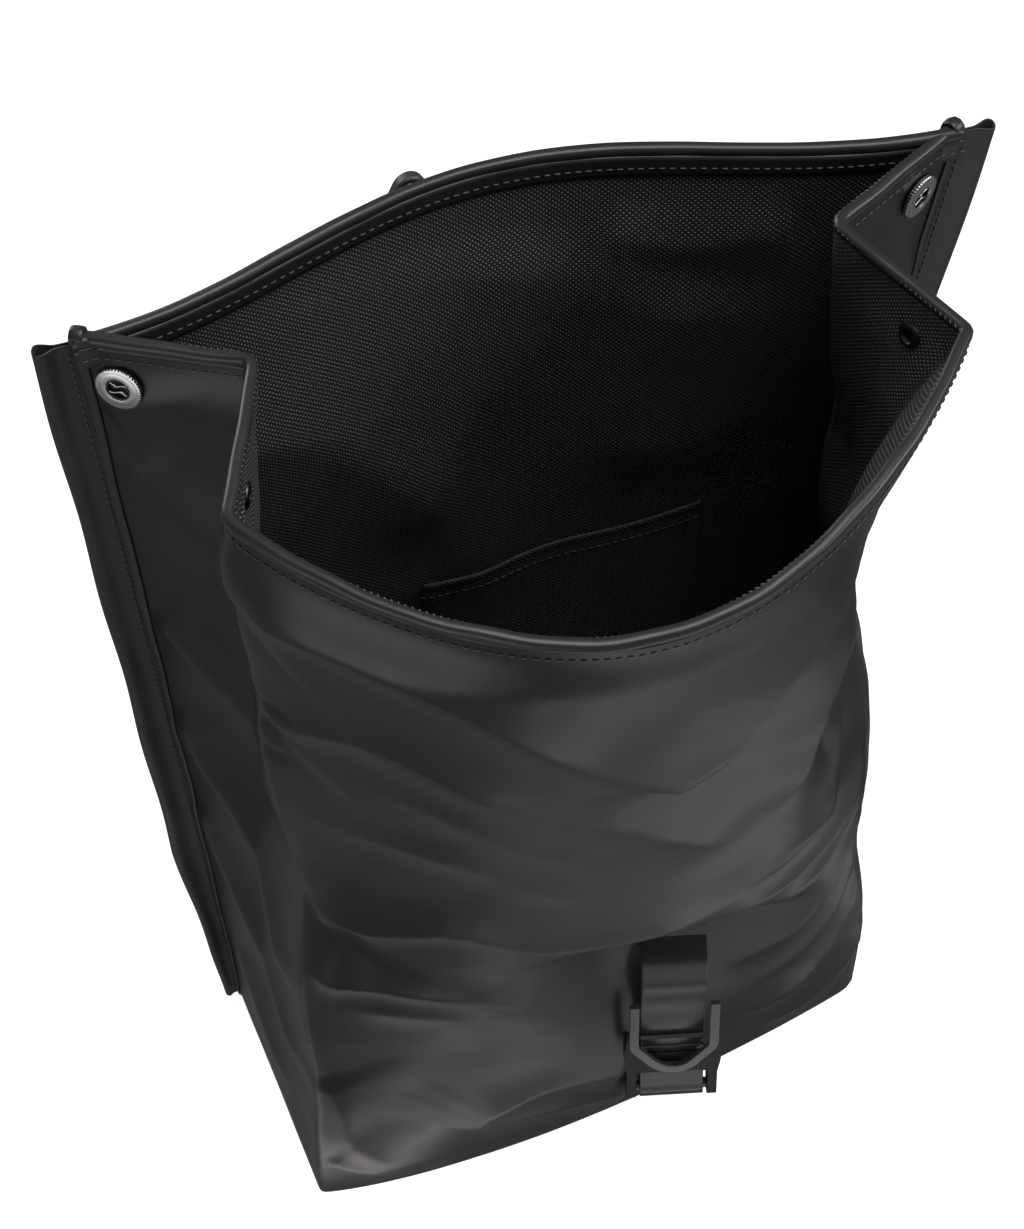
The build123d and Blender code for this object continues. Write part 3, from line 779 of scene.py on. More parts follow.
def base_grid(depth, z):
    """A flat ply over the base, between the walls, and its plan."""
    t = np.linspace(0, 1, 60)
    height = np.full(t.shape, BASE_OUTLINE_Z)
    front = wrap_plan(lerp(-HALF_W, HALF_W, t), height)
    rear = back_surface(t, height)[:, :2]
    share = np.linspace(0, 1, 26)[:, None, None]
    plan = front[None] * (1 - share) + rear[None] * share
    plan = plan * (1 - depth / np.maximum(np.abs(plan), depth).max(-1, keepdims=True))
    return np.concatenate([plan, np.full(plan.shape[:-1] + (1,), z)], -1), plan


def make_base():
    for name, depth, z, thick, material, slot, stands_for in (
        ("base_sole", 4.5, 2.0, 2.0, SHELL, "shell", "base_panel"),
        ("base_stiffener", 6.0, 5.4, 3.0, BOARD, "board", "base_board"),
        ("base_lining_cloth", 8.0, 6.8, 0.8, LINING, "lining", "base_lining"),
    ):
        top, plan = base_grid(depth, z)
        low = top - np.array([0, 0, thick])
        dress(sheet(name, top, low, plan), material, slot, "bag", stands_for)


make_base()

# ---- Rolled rim ----

UP = np.array([0.0, 0.0, 1.0])


def level(grid, z):
    """The row of a grid at a height."""
    at = float(np.interp(z, wrap_z[:, 0], np.arange(len(wrap_z))))
    i = min(int(at), len(grid) - 2)
    return lerp(grid[i], grid[i + 1], at - i)


def flat_out(out):
    return unit(out * np.array([1, 1, 0]))


def make_rim(name, top, out, lip_stitch, *stands_for):
    """The rolled bead, with zigzag stitches along its inner lip where the lip shows."""
    run = run_along(top)[:, None]
    wobble = 0.22 * np.sin(run / 11 + 0.8 * np.sin(run / 37)) + 0.12 * np.sin(run / 4.3)
    size = 1 + 0.05 * np.sin(run / 19 + 1.0)
    centre = top - out * (1.7 + wobble) + UP * (1.3 + 0.7 * wobble)
    profile = rounded_box(5.0, 5.0, 2.4, 24)[None] * size[..., None]
    bead = loft(name, sweep_loops(centre, out, profile), tube_uv(np.arange(24) * 0.7, top))
    dress(bead, HEM, "hem", "bag", *stands_for)
    if not lip_stitch:
        return
    lip = top - out * 3.5 + UP * (2.4 + 0.7 * wobble)
    sew(name + "_lip_stitch", lip, unit(UP - 0.7 * out), 1.9, 0.5, 0.32, 0.1, 1.2, LIP_THREAD)


rim_out = flat_out(wrap_out[-1])
make_rim("rim_bead_wrap", wrap[-1], rim_out, True, "front_rim_hem", "left_rim_hem", "right_rim_hem")
back_rim_out = flat_out(back_out[-1])
make_rim("rim_bead_back", back[-1], back_rim_out, False, "back_rim_hem")
TOP_SEAM = (2.3, 1.5, 0.3, 0.08, 0.0, PALE_THREAD)
TOP_SEAM_Z = 490.6
for name, grid, out in (("rim_topstitch", wrap, wrap_out), ("back_topstitch", back, back_out)):
    sew(name, level(grid, TOP_SEAM_Z), level(out, TOP_SEAM_Z), *TOP_SEAM)

# The back hem is turned to the inside as a smooth band with its own line of stitches
BAND_SKIN = 1.5
BAND_FOOT = 486.5
BAND_SEAM_Z = 490.5


def back_band(depth):
    return np.array([level(back, z) - level(back_out, z) * depth for z in np.linspace(BAND_FOOT, TOP, 6)])


band = sheet("back_hem_band", back_band(LINING_DEPTH), back_band(LINING_DEPTH + BAND_SKIN))
dress(band, HEM, "hem", "bag")
band_out = level(back_out, BAND_SEAM_Z)
band_line = level(back, BAND_SEAM_Z) - band_out * (LINING_DEPTH + BAND_SKIN)
sew("back_band_stitch", band_line, -band_out, *TOP_SEAM)

# ---- Wings ----


def wing_frame(side, z):
    at = corner("BL" if side == "left" else "BR", z)
    chord = unit(corner("BR", z) - corner("BL", z))
    out = -chord if side == "left" else chord
    ahead = np.stack([chord[..., 1], -chord[..., 0]], -1)
    return [np.concatenate([v, np.zeros(v.shape[:-1] + (1,))], -1) for v in (at, out, ahead)]


def wing_width(z):
    return lerp(6.5, 14.2, np.minimum(1, z / 150)) + 0.5 * np.sin(z / 17) * smooth(10, 60, z)


def wing_half(u, width, z):
    """Half of the folded tube's thickness at distance u from the seam."""
    roll = smooth(0.35, 0.85, u / width)
    return 1.0 + roll * (1.25 + 0.9 * smooth(455, 494, z) + 0.15 * np.sin(z / 9))


def wing_loop(side, z, shrink=0.0):
    at, out, ahead = wing_frame(side, np.array(float(z)))
    width = float(wing_width(z))
    end = 2.1        # the roll's rounded end
    u = np.linspace(-2.5 + 2.5 * shrink, width - end, 12)
    half = np.maximum(wing_half(u, width, z) - shrink, 0.35)
    tip = float(half[-1])
    arc = np.linspace(math.pi / 2, -math.pi / 2, 9)[1:-1]
    reach = end - shrink
    us = np.concatenate([u, u[-1] + reach * np.cos(arc), u[::-1]])
    vs = np.concatenate([half, tip * np.sin(arc), -half[::-1]])
    lean = 0.35 * math.sin(z / 21)
    return at + UP * z + us[:, None] * out + (vs + lean)[:, None] * ahead


def make_wing(side):
    zs = np.concatenate([[0.8, 1.6], spaced(4, 494, 5), [495.5]])
    loops = [wing_loop(side, z) for z in zs]
    loops += [wing_loop(side, 496.2, 0.25), wing_loop(side, 495.8, 0.75), wing_loop(side, 480.0, 0.95)]
    dress(loft(side + "_wing_roll", loops), WING, "wing", "bag", side + "_wing")
    line_z = np.linspace(60, 492, 180)
    at, out, ahead = wing_frame(side, line_z)
    width = wing_width(line_z)
    u = np.minimum(1.7, width - 3.2)
    for way, tag in ((1, "front"), (-1, "rear")):
        v = wing_half(u, width, line_z) * way + 0.35 * np.sin(line_z / 21)
        path = at + UP * line_z[:, None] + out * u[:, None] + ahead * v[:, None]
        sew(f"{side}_wing_stitch_{tag}", path, ahead * way, 2.7, 1.4, 0.4, 0.12)
    edge = 1 if side == "left" else -2
    along = unit(wrap[:, edge + 1] - wrap[:, edge - 1])
    rows_up = wrap_z[:, 0] > 1.5
    path = (wrap[:, edge] + wrap_out[:, edge] * 0.5)[rows_up]
    facing = along[rows_up]
    top, out_top, along_top = wrap[-1, edge], flat_out(wrap_out[-1, edge]), flat_out(along[-1])
    # Over the bead and down inside: distance out of the gusset, and height
    over = [
        (1.5, 497.2), (0.9, 499.9), (-1.0, 501.2), (-3.2, 500.9), (-5.0, 499.2), (-5.6, 496.0), (-5.2, 490.5),
    ]
    turn = np.array([top * np.array([1, 1, 0]) + out_top * v + UP * z for v, z in over])
    path = np.concatenate([path, turn])
    facing = np.concatenate([facing, np.broadcast_to(along_top, turn.shape)])
    profile = rounded_box(5.0, 1.5, 3, 16)
    strip = loft(side + "_wing_strip", sweep_loops(path, facing, profile))
    dress(strip, HEM, "hem", "bag", side + "_wing_binding")


make_wing("left")
make_wing("right")

# ---- Slip pocket ----


def back_at(x, z, depth):
    """A point of the back at a distance outside it, from its x and height."""
    x, z = np.broadcast_arrays(np.asarray(x, float), np.asarray(z, float))
    low, high = corner("BL", z), corner("BR", z)
    t = (x - low[..., 0]) / (high[..., 0] - low[..., 0])
    place = back_surface(t, z)
    step = 1.0 / (high[..., 0] - low[..., 0])
    slope = (back_surface(t + step, z)[..., 1] - back_surface(t - step, z)[..., 1]) / 2
    normal = unit(np.stack([-slope, np.ones_like(slope), np.zeros_like(slope)], -1))
    return place + normal * np.asarray(depth, float)[..., None] * np.ones_like(normal), normal, t


POCKET_LEFT, POCKET_WIDE = -35, 125
POCKET_FOOT, POCKET_HIGH = 120, 165


def make_pocket():
    """A patch of lining sewn to the back on three sides; its mouth stands a little open."""
    u, v = np.meshgrid(np.linspace(0, 1, 64), np.linspace(0, 1, 84))
    x = POCKET_LEFT + POCKET_WIDE * u
    z = POCKET_FOOT + (POCKET_HIGH + 7 * smooth(0, 1, u) - 3 * np.sin(math.pi * u)) * v
    share = back_at(x, z, 0.0)[2]
    slack = back_lining_folds(share, z)
    belly = np.sin(math.pi * u) ** 0.6 * smooth(0, 0.5, v)
    wave = 1.2 * np.sin(3 * math.pi * u + 0.4) * smooth(0.3, 1, v)
    gap = LINING_DEPTH + LINING_SKIN + slack + 0.5 + belly * (4.6 + wave)
    outer = back_at(x, z, -gap)[0]
    inner, normal, share = back_at(x, z, -gap - 0.9)
    cloth = sheet("slip_pocket", outer, inner, np.stack([x * 1.02 + 0.4, z], -1))
    dress(cloth, LINING, "lining", "bag", "inner_pocket")
    loops = sweep_loops(outer[-1] - normal[-1] * 0.5, normal[-1], rounded_box(1.5, 3.4, 3, 16))
    dress(loft("slip_pocket_hem", loops, tube_uv(np.arange(16) * 0.7, outer[-1])), LINING, "lining", "bag")
    side_line = np.concatenate([inner[:-3, 2][::-1], inner[2, 2:-2], inner[:-3, -3]])
    facing = -np.concatenate([normal[:-3, 2][::-1], normal[2, 2:-2], normal[:-3, -3]])
    sew("slip_pocket_stitch", side_line, facing, 2.4, 1.2, 0.34, 0.08)
    sew("slip_pocket_hem_stitch", inner[-5], -normal[-5], 2.4, 1.2, 0.34, 0.08)


make_pocket()

# ---- Snap fasteners ----


def on_wrap(s, z):
    """Point, normal and direction along the wrap at a place on it."""
    col = (s + WRAP_END) / (2 * WRAP_END) * (wrap.shape[1] - 1)
    i = int(col)
    at, out = (lerp(level(g, z)[i], level(g, z)[i + 1], col - i) for g in (wrap, wrap_out))
    ahead = level(wrap, z)[i + 2] - level(wrap, z)[i - 1]
    return at, unit(out), unit(ahead)


def lathe(profile):
    return closed_loft(lathe_loops(profile, 56))


# Turned parts of the snaps: radius and height
SOCKET = [
    (4.0, 0.4), (8.3, 0.4), (8.75, 0.7), (8.8, 1.9), (8.5, 2.35), (7.9, 2.55), (7.4, 2.5), (6.9, 2.6),
    (5.2, 2.75), (4.7, 2.7), (4.4, 2.45), (4.3, 2.0), (4.3, 1.0), (0.05, 1.0),
]
COLLAR = [(4.35, 1.1), (4.35, 2.3), (4.1, 2.5), (3.8, 2.3), (3.7, 1.1)]
CAP = [
    (0.05, -0.4), (4.6, -0.4), (5.0, -0.15), (4.9, 0.35), (4.1, 0.95), (2.6, 1.35), (1.2, 1.5), (0.05, 1.52),
]
STUD = [
    (0.05, 0.2), (4.8, 0.2), (5.0, 0.7), (4.6, 1.3), (3.0, 1.6), (2.1, 1.9), (2.0, 2.8), (2.55, 3.3),
    (2.55, 3.9), (2.1, 4.2), (0.05, 4.25),
]
EYELET = [
    (2.4, -0.4), (4.6, -0.4), (5.0, 0.1), (4.8, 0.7), (4.0, 1.15), (3.0, 1.2), (2.5, 0.8), (2.4, 0.1),
    (0.05, 0.1),
]


SNAP_Z = HEIGHT - 22.0


def make_snap(side, s_socket, s_stud):
    at, out, ahead = on_wrap(s_socket, SNAP_Z)
    place = Place(at, ahead, out)
    loops = lathe_loops(SOCKET, 270)
    turn = np.arctan2(loops[..., 1], loops[..., 0])
    knurl = 1 + 0.012 * np.sin(45 * turn) * smooth(8.1, 8.5, np.hypot(loops[..., 0], loops[..., 1]))
    loops[..., :2] *= knurl[..., None]
    pieces = [
        ("socket", place, [closed_loft(loops)], GUNMETAL, "_snap_socket"),
        ("socket_collar", place, [lathe(COLLAR)], DARK_AND_SHADED_METAL, None),
    ]
    bars = []
    for sign in (-1, 1):
        k = np.linspace(-1, 1, 25)
        path = np.stack([k * 3.6, sign * (1.75 - 0.5 * np.cos(math.pi * k)), np.full(25, 1.9)], -1)
        path[:, 1] += 0.3 * np.sin(1.5 * math.pi * k)
        bars.append(closed_loft(sweep_loops(path, UP, rounded_box(0.75, 0.75, 2, 12))))
    inside = Place(at - out * (LINING_DEPTH + LINING_SKIN), ahead, -out)
    pieces += [
        ("socket_spring", place, bars, GUNMETAL, None),
        ("socket_cap_disc", inside, [lathe(CAP)], GUNMETAL, "_socket_cap"),
    ]
    at, out, ahead = on_wrap(s_stud, SNAP_Z)
    inside = Place(at - out * (LINING_DEPTH + LINING_SKIN), ahead, -out)
    pieces += [
        # painted shade: the stud takes the darker metal so that no highlight shows on it
        ("stud", Place(at, ahead, out), [lathe(STUD)], DARK_AND_SHADED_METAL, "_snap_stud"),
        ("eyelet", inside, [lathe(EYELET)], DARK_AND_SHADED_METAL, "_stud_eyelet"),
    ]
    for tag, where, parts, material, stands_for in pieces:
        nodes = [side + stands_for] if stands_for else []
        hard_piece(f"{side}_{tag}", where, parts, material, "snap_metal", "bag", *nodes, angle=32)


make_snap("left", -246.0, -166.0)
make_snap("right", 242.5, 161.0)

# ---- Front strap and hook: x across, y up the strap, z out of it ----

STRAP_YAW = math.radians(19.4)
STRAP_TILT = math.radians(15.1)
STRAP_L = 96.0
strap_across = np.array([math.cos(STRAP_YAW), -math.sin(STRAP_YAW), 0.0])
strap_face = np.cross(strap_across, UP)
strap_up = UP * math.cos(STRAP_TILT) - strap_face * math.sin(STRAP_TILT)
STRAP = Place((27.4, -82.6, 28.8), strap_across, np.cross(strap_across, strap_up))


def strap_line(points, step):
    """A path in the middle plane of a strap from (up, out) pairs."""
    return resample([(0.0, y, z) for y, z in points], step)[0]


def round_bar(radius, start, end, count):
    """Points of an arc about the bar; angles in degrees from straight up, turning outwards."""
    turns = np.linspace(math.radians(start), math.radians(end), count)
    return [(radius * math.cos(a), radius * math.sin(a)) for a in turns]


def make_front_strap():
    t = np.linspace(0, 1, 40)
    y = lerp(STRAP_L, 16.0, t)
    z = -1.0 + 5.0 * bell(y, 76, 17) + 0.9 * bell(y, 45, 12)
    z = z - 1.4 * smooth(40, 18, y) - 5.5 * smooth(84, 97, y) ** 2
    path = [*zip(y, z)]
    path += round_bar(3.85, -60, -180, 12) + round_bar(3.85, 180, 50, 14)[1:]
    path += [(8.0, 2.1), (14.0, 1.55), (22.0, 1.5), (30.0, 1.9), (37.0, 2.3)]
    upper = [(15.0, 3.0), (24.0, 3.1), (28.0, 3.4), (32.6, 3.7)]
    root = [(STRAP_L + 1.6, -9.6), (STRAP_L + 4.5, -13.4), (STRAP_L + 8.0, -17.0)]
    for name, points, step, width, thick, body, nodes in (
        ("strap_leather", path, 1.3, 30.0, 2.4, "front_strap", ["front_strap"]),
        ("strap_reinforcement", upper, 1.5, 29.4, 1.1, "front_strap", []),
        ("strap_root", root, 1.5, 30.0, 2.4, "bag", ["front_strap_anchor"]),
    ):
        piece = ribbon(name, STRAP.put(strap_line(points, step)), STRAP.x, width, thick, LEATHER, EDGE)
        dress(piece, None, "strap_leather", body, *nodes)


HOOK_WIDE = 41.4
HOOK_BAR = 4.4       # width of the bar that the hook is bent from
HOOK_TOP, HOOK_BEND, HOOK_FOOT = 65.0, 36.5, 14.6


def make_hook():
    side = (HOOK_WIDE - HOOK_BAR) / 2
    corners = [
        (-side, HOOK_TOP, 0), (-side, HOOK_BEND, 0), (0, HOOK_FOOT, 0),
        (side, HOOK_BEND, 0), (side, HOOK_TOP, 0),
    ]
    path = resample(fillet(corners, [0, 6.5, 12.5, 6.5, 0], per=12), 1.2)[0]
    path = np.concatenate([path, [[side, HOOK_TOP, 0]]]) + np.array([0, 0, 8.3])
    section = ribbon_profile(HOOK_BAR, 3.0, 0.3, 4)
    hook = closed_loft(sweep_loops(path, UP, section[:, ::-1]))
    boss = cuboid(-5, 5, 17.2, 22.0, 4.6, 7.6)
    hard_piece("v_hook", STRAP, [hook, boss], PAINT, "hook_metal", "hook", "closure_hook", width=0.25)


def make_plate():
    u = np.linspace(-1, 1, 61)[None]
    v = np.linspace(0, 1, 12)[:, None]
    high = 28 + 14 * smooth(0.70, 0.97, np.abs(u))
    low = 14.5 - 1.0 * smooth(0.5, 0.9, np.abs(u))
    x = 21.5 * u * (1 + 0.07 * np.sin(math.pi * np.minimum(1, 1.2 * v)) * smooth(0.6, 1, np.abs(u))) + 0 * v
    y = low + (high - low) * v
    front = STRAP.put(np.stack([x, y, 4.9 + 0 * x], -1))
    rear = STRAP.put(np.stack([x, y, 4.2 - 1.2 * smooth(0.7, 0.8, np.abs(u)) + 0 * x], -1))
    piece = sheet("hook_face_plate", front, rear)
    sharpen(dress(piece, DARKPAINT, "hook_metal", "hook", "hook_plate"), 30)
    round_edges(piece, 0.3)
    legs = []
    for sign in (-1, 1):
        x0, x1 = sorted((sign * 16.7, sign * 21.5))
        legs.append(cuboid(x0, x1, -3.2, 20, -2.0, 4.6))
    hard_piece("hook_plate_legs", STRAP, legs, DARKPAINT, "hook_metal", "hook", width=0.5, segments=3)
    profile = ((2.0, -21.0), (2.4, -20.8), (2.5, -20.0), (2.5, 20.0), (2.4, 20.8), (2.0, 21.0))
    bar = np.roll(lathe_loops(profile, 28), 1, axis=-1)
    hard_piece("hook_axle", STRAP, [closed_loft(bar)], PAINT, "hook_metal", "hook", "hook_bar")


make_front_strap()
make_hook()
make_plate()

# ---- Back of the bag ----


def back_strip_grid(x0, x1, z0, z1, depth, cols, rows=14):
    """Points over a rectangle of the back: rows go up, columns from left to right as seen from behind."""
    x, z = np.meshgrid(np.linspace(x0, x1, cols), np.linspace(z0, z1, rows))
    return back_at(x, z, depth)[0][:, ::-1]


def back_patch(name, x0, x1, z0, z1, near, far, material, slot, *stands_for, cols=40):
    """A flat piece sewn on to the back, with a line of stitches round it."""
    outer, inner = (back_strip_grid(x0, x1, z0, z1, depth, cols) for depth in (far, near))
    x, z = np.meshgrid(np.linspace(x1, x0, cols), np.linspace(z0, z1, outer.shape[0]))
    piece = sheet(name, outer, inner, np.stack([x, z], -1))
    dress(piece, material, slot, "bag", *stands_for)
    sharpen(piece)
    round_edges(piece, min(0.5, (far - near) / 4))
    m = 2.2
    ring = [(x0 + m, z0 + m), (x1 - m, z0 + m), (x1 - m, z1 - m), (x0 + m, z1 - m), (x0 + m, z0 + m)]
    line = resample(ring, 1.0)[0]
    path, facing, _ = back_at(line[:, 0], line[:, 1], far)
    sew(name + "_stitch", path, facing, 2.3, 1.1, 0.34, 0.05)


back_patch("yoke_band", -114, 114, 372, 398, 0.5, 2.6, WEBBING, "webbing", "strap_yoke", cols=90)


def depth_outside(points):
    """How far points lie outside the back."""
    surface, normal, _ = back_at(points[:, 0], np.clip(points[:, 2], 0, HEIGHT), 0.0)
    return ((points - surface) * normal).sum(1), normal


PAD_CHANNELS = (98.0, 156.0, 214.0, 272.0)
PAD_CROWNS = (69, 127, 185, 243, 300)
PAD_EDGES = (-74.5, 74.5, 43.5, 326.5)
PAD_DEPTHS = (6.4, 1.2)
SWELL = 2.2          # furthest that a point of the cushion may move as it swells


def make_back_pad():
    """Foam under mesh cloth: it swells, then channels are sewn through it."""
    pad = sheet("back_cushion", *(back_strip_grid(*PAD_EDGES, depth, 32, 58) for depth in PAD_DEPTHS))
    bpy.context.view_layer.objects.active = pad
    remesh = pad.modifiers.new("remesh", "REMESH")
    remesh.mode = "VOXEL"
    remesh.voxel_size = 0.0045
    apply_modifiers(pad)
    start = mesh_points(pad)
    cloth = pad.modifiers.new("cloth", "CLOTH")
    cloth.settings.quality = 5
    cloth.settings.use_pressure = True
    cloth.settings.uniform_pressure_force = 4.0
    cloth.settings.effector_weights.gravity = 0.0
    cloth.point_cache.frame_start = 1
    cloth.point_cache.frame_end = 20
    for number in range(1, 21):
        bpy.context.scene.frame_set(number)
    apply_modifiers(pad)
    bpy.context.scene.frame_set(1)
    moved = mesh_points(pad)
    if len(moved) == len(start):
        step = moved - start
        size = np.linalg.norm(step, axis=1, keepdims=True)
        moved = start + step * np.minimum(1, SWELL / np.maximum(size, 1e-6))
    set_points(pad, moved)
    divide = pad.modifiers.new("smooth", "SUBSURF")
    divide.levels = 1
    divide.render_levels = 1
    apply_modifiers(pad)
    points = mesh_points(pad)
    depth, normal = depth_outside(points)
    x, z = points[:, 0], points[:, 2]
    channel = sum(np.exp(-((z - c) / 2.6) ** 2) for c in PAD_CHANNELS) * smooth(78, 70, np.abs(x))
    middle = np.exp(-(x / 3.5) ** 2) * smooth(330, 318, z) * smooth(40, 52, z)
    crown = 1.2 * np.minimum(1, sum(bell(z, c, 22) for c in PAD_CROWNS)) * np.cos(x / 78 * math.pi / 2)
    front = smooth(2.5, 5.0, depth)
    target = np.clip(depth + front * (crown - 4.6 * np.minimum(1, channel + 0.8 * middle)), 0.5, 9.0)
    set_points(pad, points + normal * (target - depth)[:, None])
    pad.data.polygons.foreach_set("use_smooth", [True] * len(pad.data.polygons))
    pad.data.materials.clear()
    dress(pad, MESH, "pad_mesh", "bag", "back_pad")
    ring = fillet([(-76, 41.5, 0), (76, 41.5, 0), (76, 328.5, 0), (-76, 328.5, 0)], 12.0, closed=True)
    ring = resample(np.concatenate([ring, ring[:1]]), 2.5)[0]
    ring = np.concatenate([ring, ring[:1]])
    path, facing, _ = back_at(ring[:, 0], ring[:, 1], 2.4)
    piping = loft("back_cushion_piping", sweep_loops(path, facing, rounded_box(3.6, 3.0, 2.4, 14)))
    dress(piping, HEM, "pad_mesh", "bag")
    for i, c in enumerate(PAD_CHANNELS):
        path, facing, _ = back_at(np.linspace(-70, 70, 80), c, 3.0)
        sew(f"back_cushion_channel_{i + 1}", path, facing, 3.0, 1.6, 0.4, 0.0)


def mesh_points(piece):
    co = np.zeros(len(piece.data.vertices) * 3)
    piece.data.vertices.foreach_get("co", co)
    return co.reshape(-1, 3) / MM


def set_points(piece, points):
    piece.data.vertices.foreach_set("co", (points * MM).ravel())
    piece.data.update()


def apply_modifiers(piece):
    """Replace a piece's mesh with what its modifiers make of it."""
    graph = bpy.context.evaluated_depsgraph_get()
    made = bpy.data.meshes.new_from_object(piece.evaluated_get(graph), depsgraph=graph)
    piece.modifiers.clear()
    piece.data = made


make_back_pad()

# ---- Closure strap and ring ----

CLOSURE_TILT = math.radians(3.0)
closure_foot, _, _ = back_at(-22.0, 395.0, 0.0)
closure_face = (0, math.cos(CLOSURE_TILT), -math.sin(CLOSURE_TILT))
CLOSURE = Place(closure_foot + np.array([0, 6.0, 0]), (-1, 0, 0), closure_face)
RING_AT = 66.0


def make_closure():
    loop = [(RING_AT + y, z) for y, z in round_bar(3.2, -150, 150, 26)]
    path = [(0.6, 0.0), (12, 0.0), (26, -0.2), (34, -0.9), (48, -1.3), (56, -1.4)] + loop
    path += [(56, 1.3), (48, 1.2), (40, 1.25), (36.5, 1.35)]
    piece = ribbon("closure_leather", CLOSURE.put(strap_line(path, 1.3)), CLOSURE.x, 30.0, 2.0, LEATHER, EDGE)
    dress(piece, None, "strap_leather", "closure_strap", "closure_strap")
    row = CLOSURE.put(np.array([(x, 41.5, 2.3) for x in np.linspace(-13, 13, 30)]))
    sew("closure_leather_stitch", row, CLOSURE.z, 2.4, 1.1, body="closure_strap")
    x, low, high, shoulder = 17.2, RING_AT, RING_AT + 34.4, RING_AT + 7.0
    right = [(x, low, 0), (x, shoulder, 0), (2.6, high, 0)]
    outline = [(-x, low, 0), *right, (-2.6, high, 0), (-x, shoulder, 0)]
    path = fillet(outline, [1.8, 1.8, 6.0, 4.5, 4.5, 6.0], closed=True, per=8)
    path = resample(np.concatenate([path, path[:1]]), 1.1)[0]
    ahead = unit(np.roll(path, -1, axis=0) - np.roll(path, 1, axis=0))
    side = np.cross(ahead, UP)
    profile = ribbon_profile(3.2, 4.6, 0.7, 4)
    loops = path[:, None] + profile[None, :, :1] * side[:, None] + profile[None, :, 1:] * UP
    parts, body = [closed_loft(loops, ring=True)], "closure_ring"
    hard_piece("rolled_top_ring", CLOSURE, parts, PAINT, "hook_metal", body, body, width=0.3)
    root = "closure_strap_anchor"
    back_patch("closure_root", -37, -7, 377, 390, 2.9, 5.2, LEATHER, "strap_leather", root, cols=16)


make_closure()

# ---- Carry handle ----


HANDLE_HALF = 44     # half the distance between the handle's tabs
HANDLE_TOP = 374


def make_handle():
    middle, _, _ = back_at(0.0, HANDLE_TOP, 0.0)
    y = middle[1] + 9.0
    x, top, low = HANDLE_HALF, HANDLE_TOP, 338
    corners = [(-x, y, top), (-x, y, low), (x, y, low), (x, y, top)]
    path = resample(fillet(corners, 13.0, per=12), 1.6)[0]
    path = np.concatenate([path, [corners[-1]]])
    ahead = unit(np.gradient(path, axis=0))
    side = np.cross(ahead, np.array([0, 1.0, 0]))
    loops = sweep_loops(path, side, rounded_box(12.0, 4.0, 3.2, 24))
    grip = loft("handle_loop", loops, tube_uv(np.arange(24) * 1.2, path))
    dress(grip, LEATHER, "strap_leather", "carry_handle", "carry_handle")
    for way, tag in ((1, "outer"), (-1, "inner")):
        for edge, word in ((4.2, "a"), (-4.2, "b")):
            line = path + side * edge + np.array([0, way * 1.95, 0])
            sew(f"handle_stitch_{tag}_{word}", line, (0, way, 0), 2.6, 1.2, 0.34, 0.05, body="carry_handle")
    for sign, side_name in ((-1, "left"), (1, "right")):
        x = sign * HANDLE_HALF
        root, tab = side_name + "_handle_root", side_name + "_handle_tab"
        back_patch(root, x - 6, x + 6, 377, 392, 2.9, 5.2, LEATHER, "strap_leather", tab, cols=8)


make_handle()

# ---- Shoulder straps ----

# Height, inner and outer distance from the back, middle x, half width
STATIONS = [
    (132, 26.3, 34.7, 95, 14.6), (150, 26.9, 35.4, 94, 17.5), (190, 28.2, 36.8, 92, 22.6),
    (230, 28.0, 36.6, 90, 25.8), (260, 27.2, 35.8, 88, 27.4), (300, 23.8, 34.2, 86, 27.7),
    (330, 20.2, 31.8, 84, 27.6), (345, 13.0, 29.5, 83.4, 27.6), (360, 4.4, 25.6, 83, 27.6),
    (368, 1.8, 17.4, 82.3, 27.6), (371, 0.8, 13.6, 82, 27.4),
]


def make_shoulder_strap(name, sign):
    zs = np.concatenate([[132.0, 132.6, 133.6, 135.5], np.linspace(138, 371, 70)])
    near, far, x, half = (curve_at([(row[0], row[i]) for row in STATIONS], zs) for i in range(1, 5))
    shrink = np.concatenate([[0.55, 0.8, 0.92, 0.98], np.ones(70)])
    profile = rounded_box(2.0, 2.0, 3.6, 36)
    across, out = profile[:, 0], profile[:, 1]
    quilt = np.minimum(1, 1 + 0.05 * np.sin(zs / 24))
    thick = (far - near) / 2 * shrink
    middle = (far + near) / 2
    xs = sign * x[:, None] + across[None] * (half * (0.9 + 0.1 * shrink))[:, None]
    edge = 1 - 0.42 * np.abs(across) ** 6
    depth = middle[:, None] + out[None] * edge[None] * (thick * quilt)[:, None]
    points = back_at(xs, zs[:, None], depth)[0]
    if sign > 0:
        points = points[:, ::-1]
    piece = loft(name + "_strap_pad", points)
    dress(piece, PAD_CLOTH, "strap_pad", "bag", name + "_shoulder_strap")
    for way in (-1, 1):
        line_x = sign * x + way * half * 0.985
        path, facing, _ = back_at(line_x, zs, middle)
        tag = "outer" if way == sign else "inner"
        loops = sweep_loops(path, facing, rounded_box(5.2, 2.0, 2.6, 14))
        binding = loft(f"{name}_strap_binding_{tag}", loops)
        dress(binding, HEM, "strap_pad", "bag")
        seam_x = sign * x + way * (half - 5.5)
        path, facing, _ = back_at(seam_x[3:-6], zs[3:-6], (middle + thick * 0.985)[3:-6])
        sew(f"{name}_strap_stitch_{tag}", path, facing, 3.0, 1.5, 0.38)
    line, facing, _ = back_at(sign * x[4:-12], zs[4:-12], (middle + thick + 0.6)[4:-12])
    rib = ribbon(name + "_strap_daisy_webbing", line, (1, 0, 0), 20.0, 1.4, WEBBING, WEBBING)
    dress(rib, None, "webbing", "bag")


WEB_AT = 95.0        # distance of the lower webbings from the middle of the back


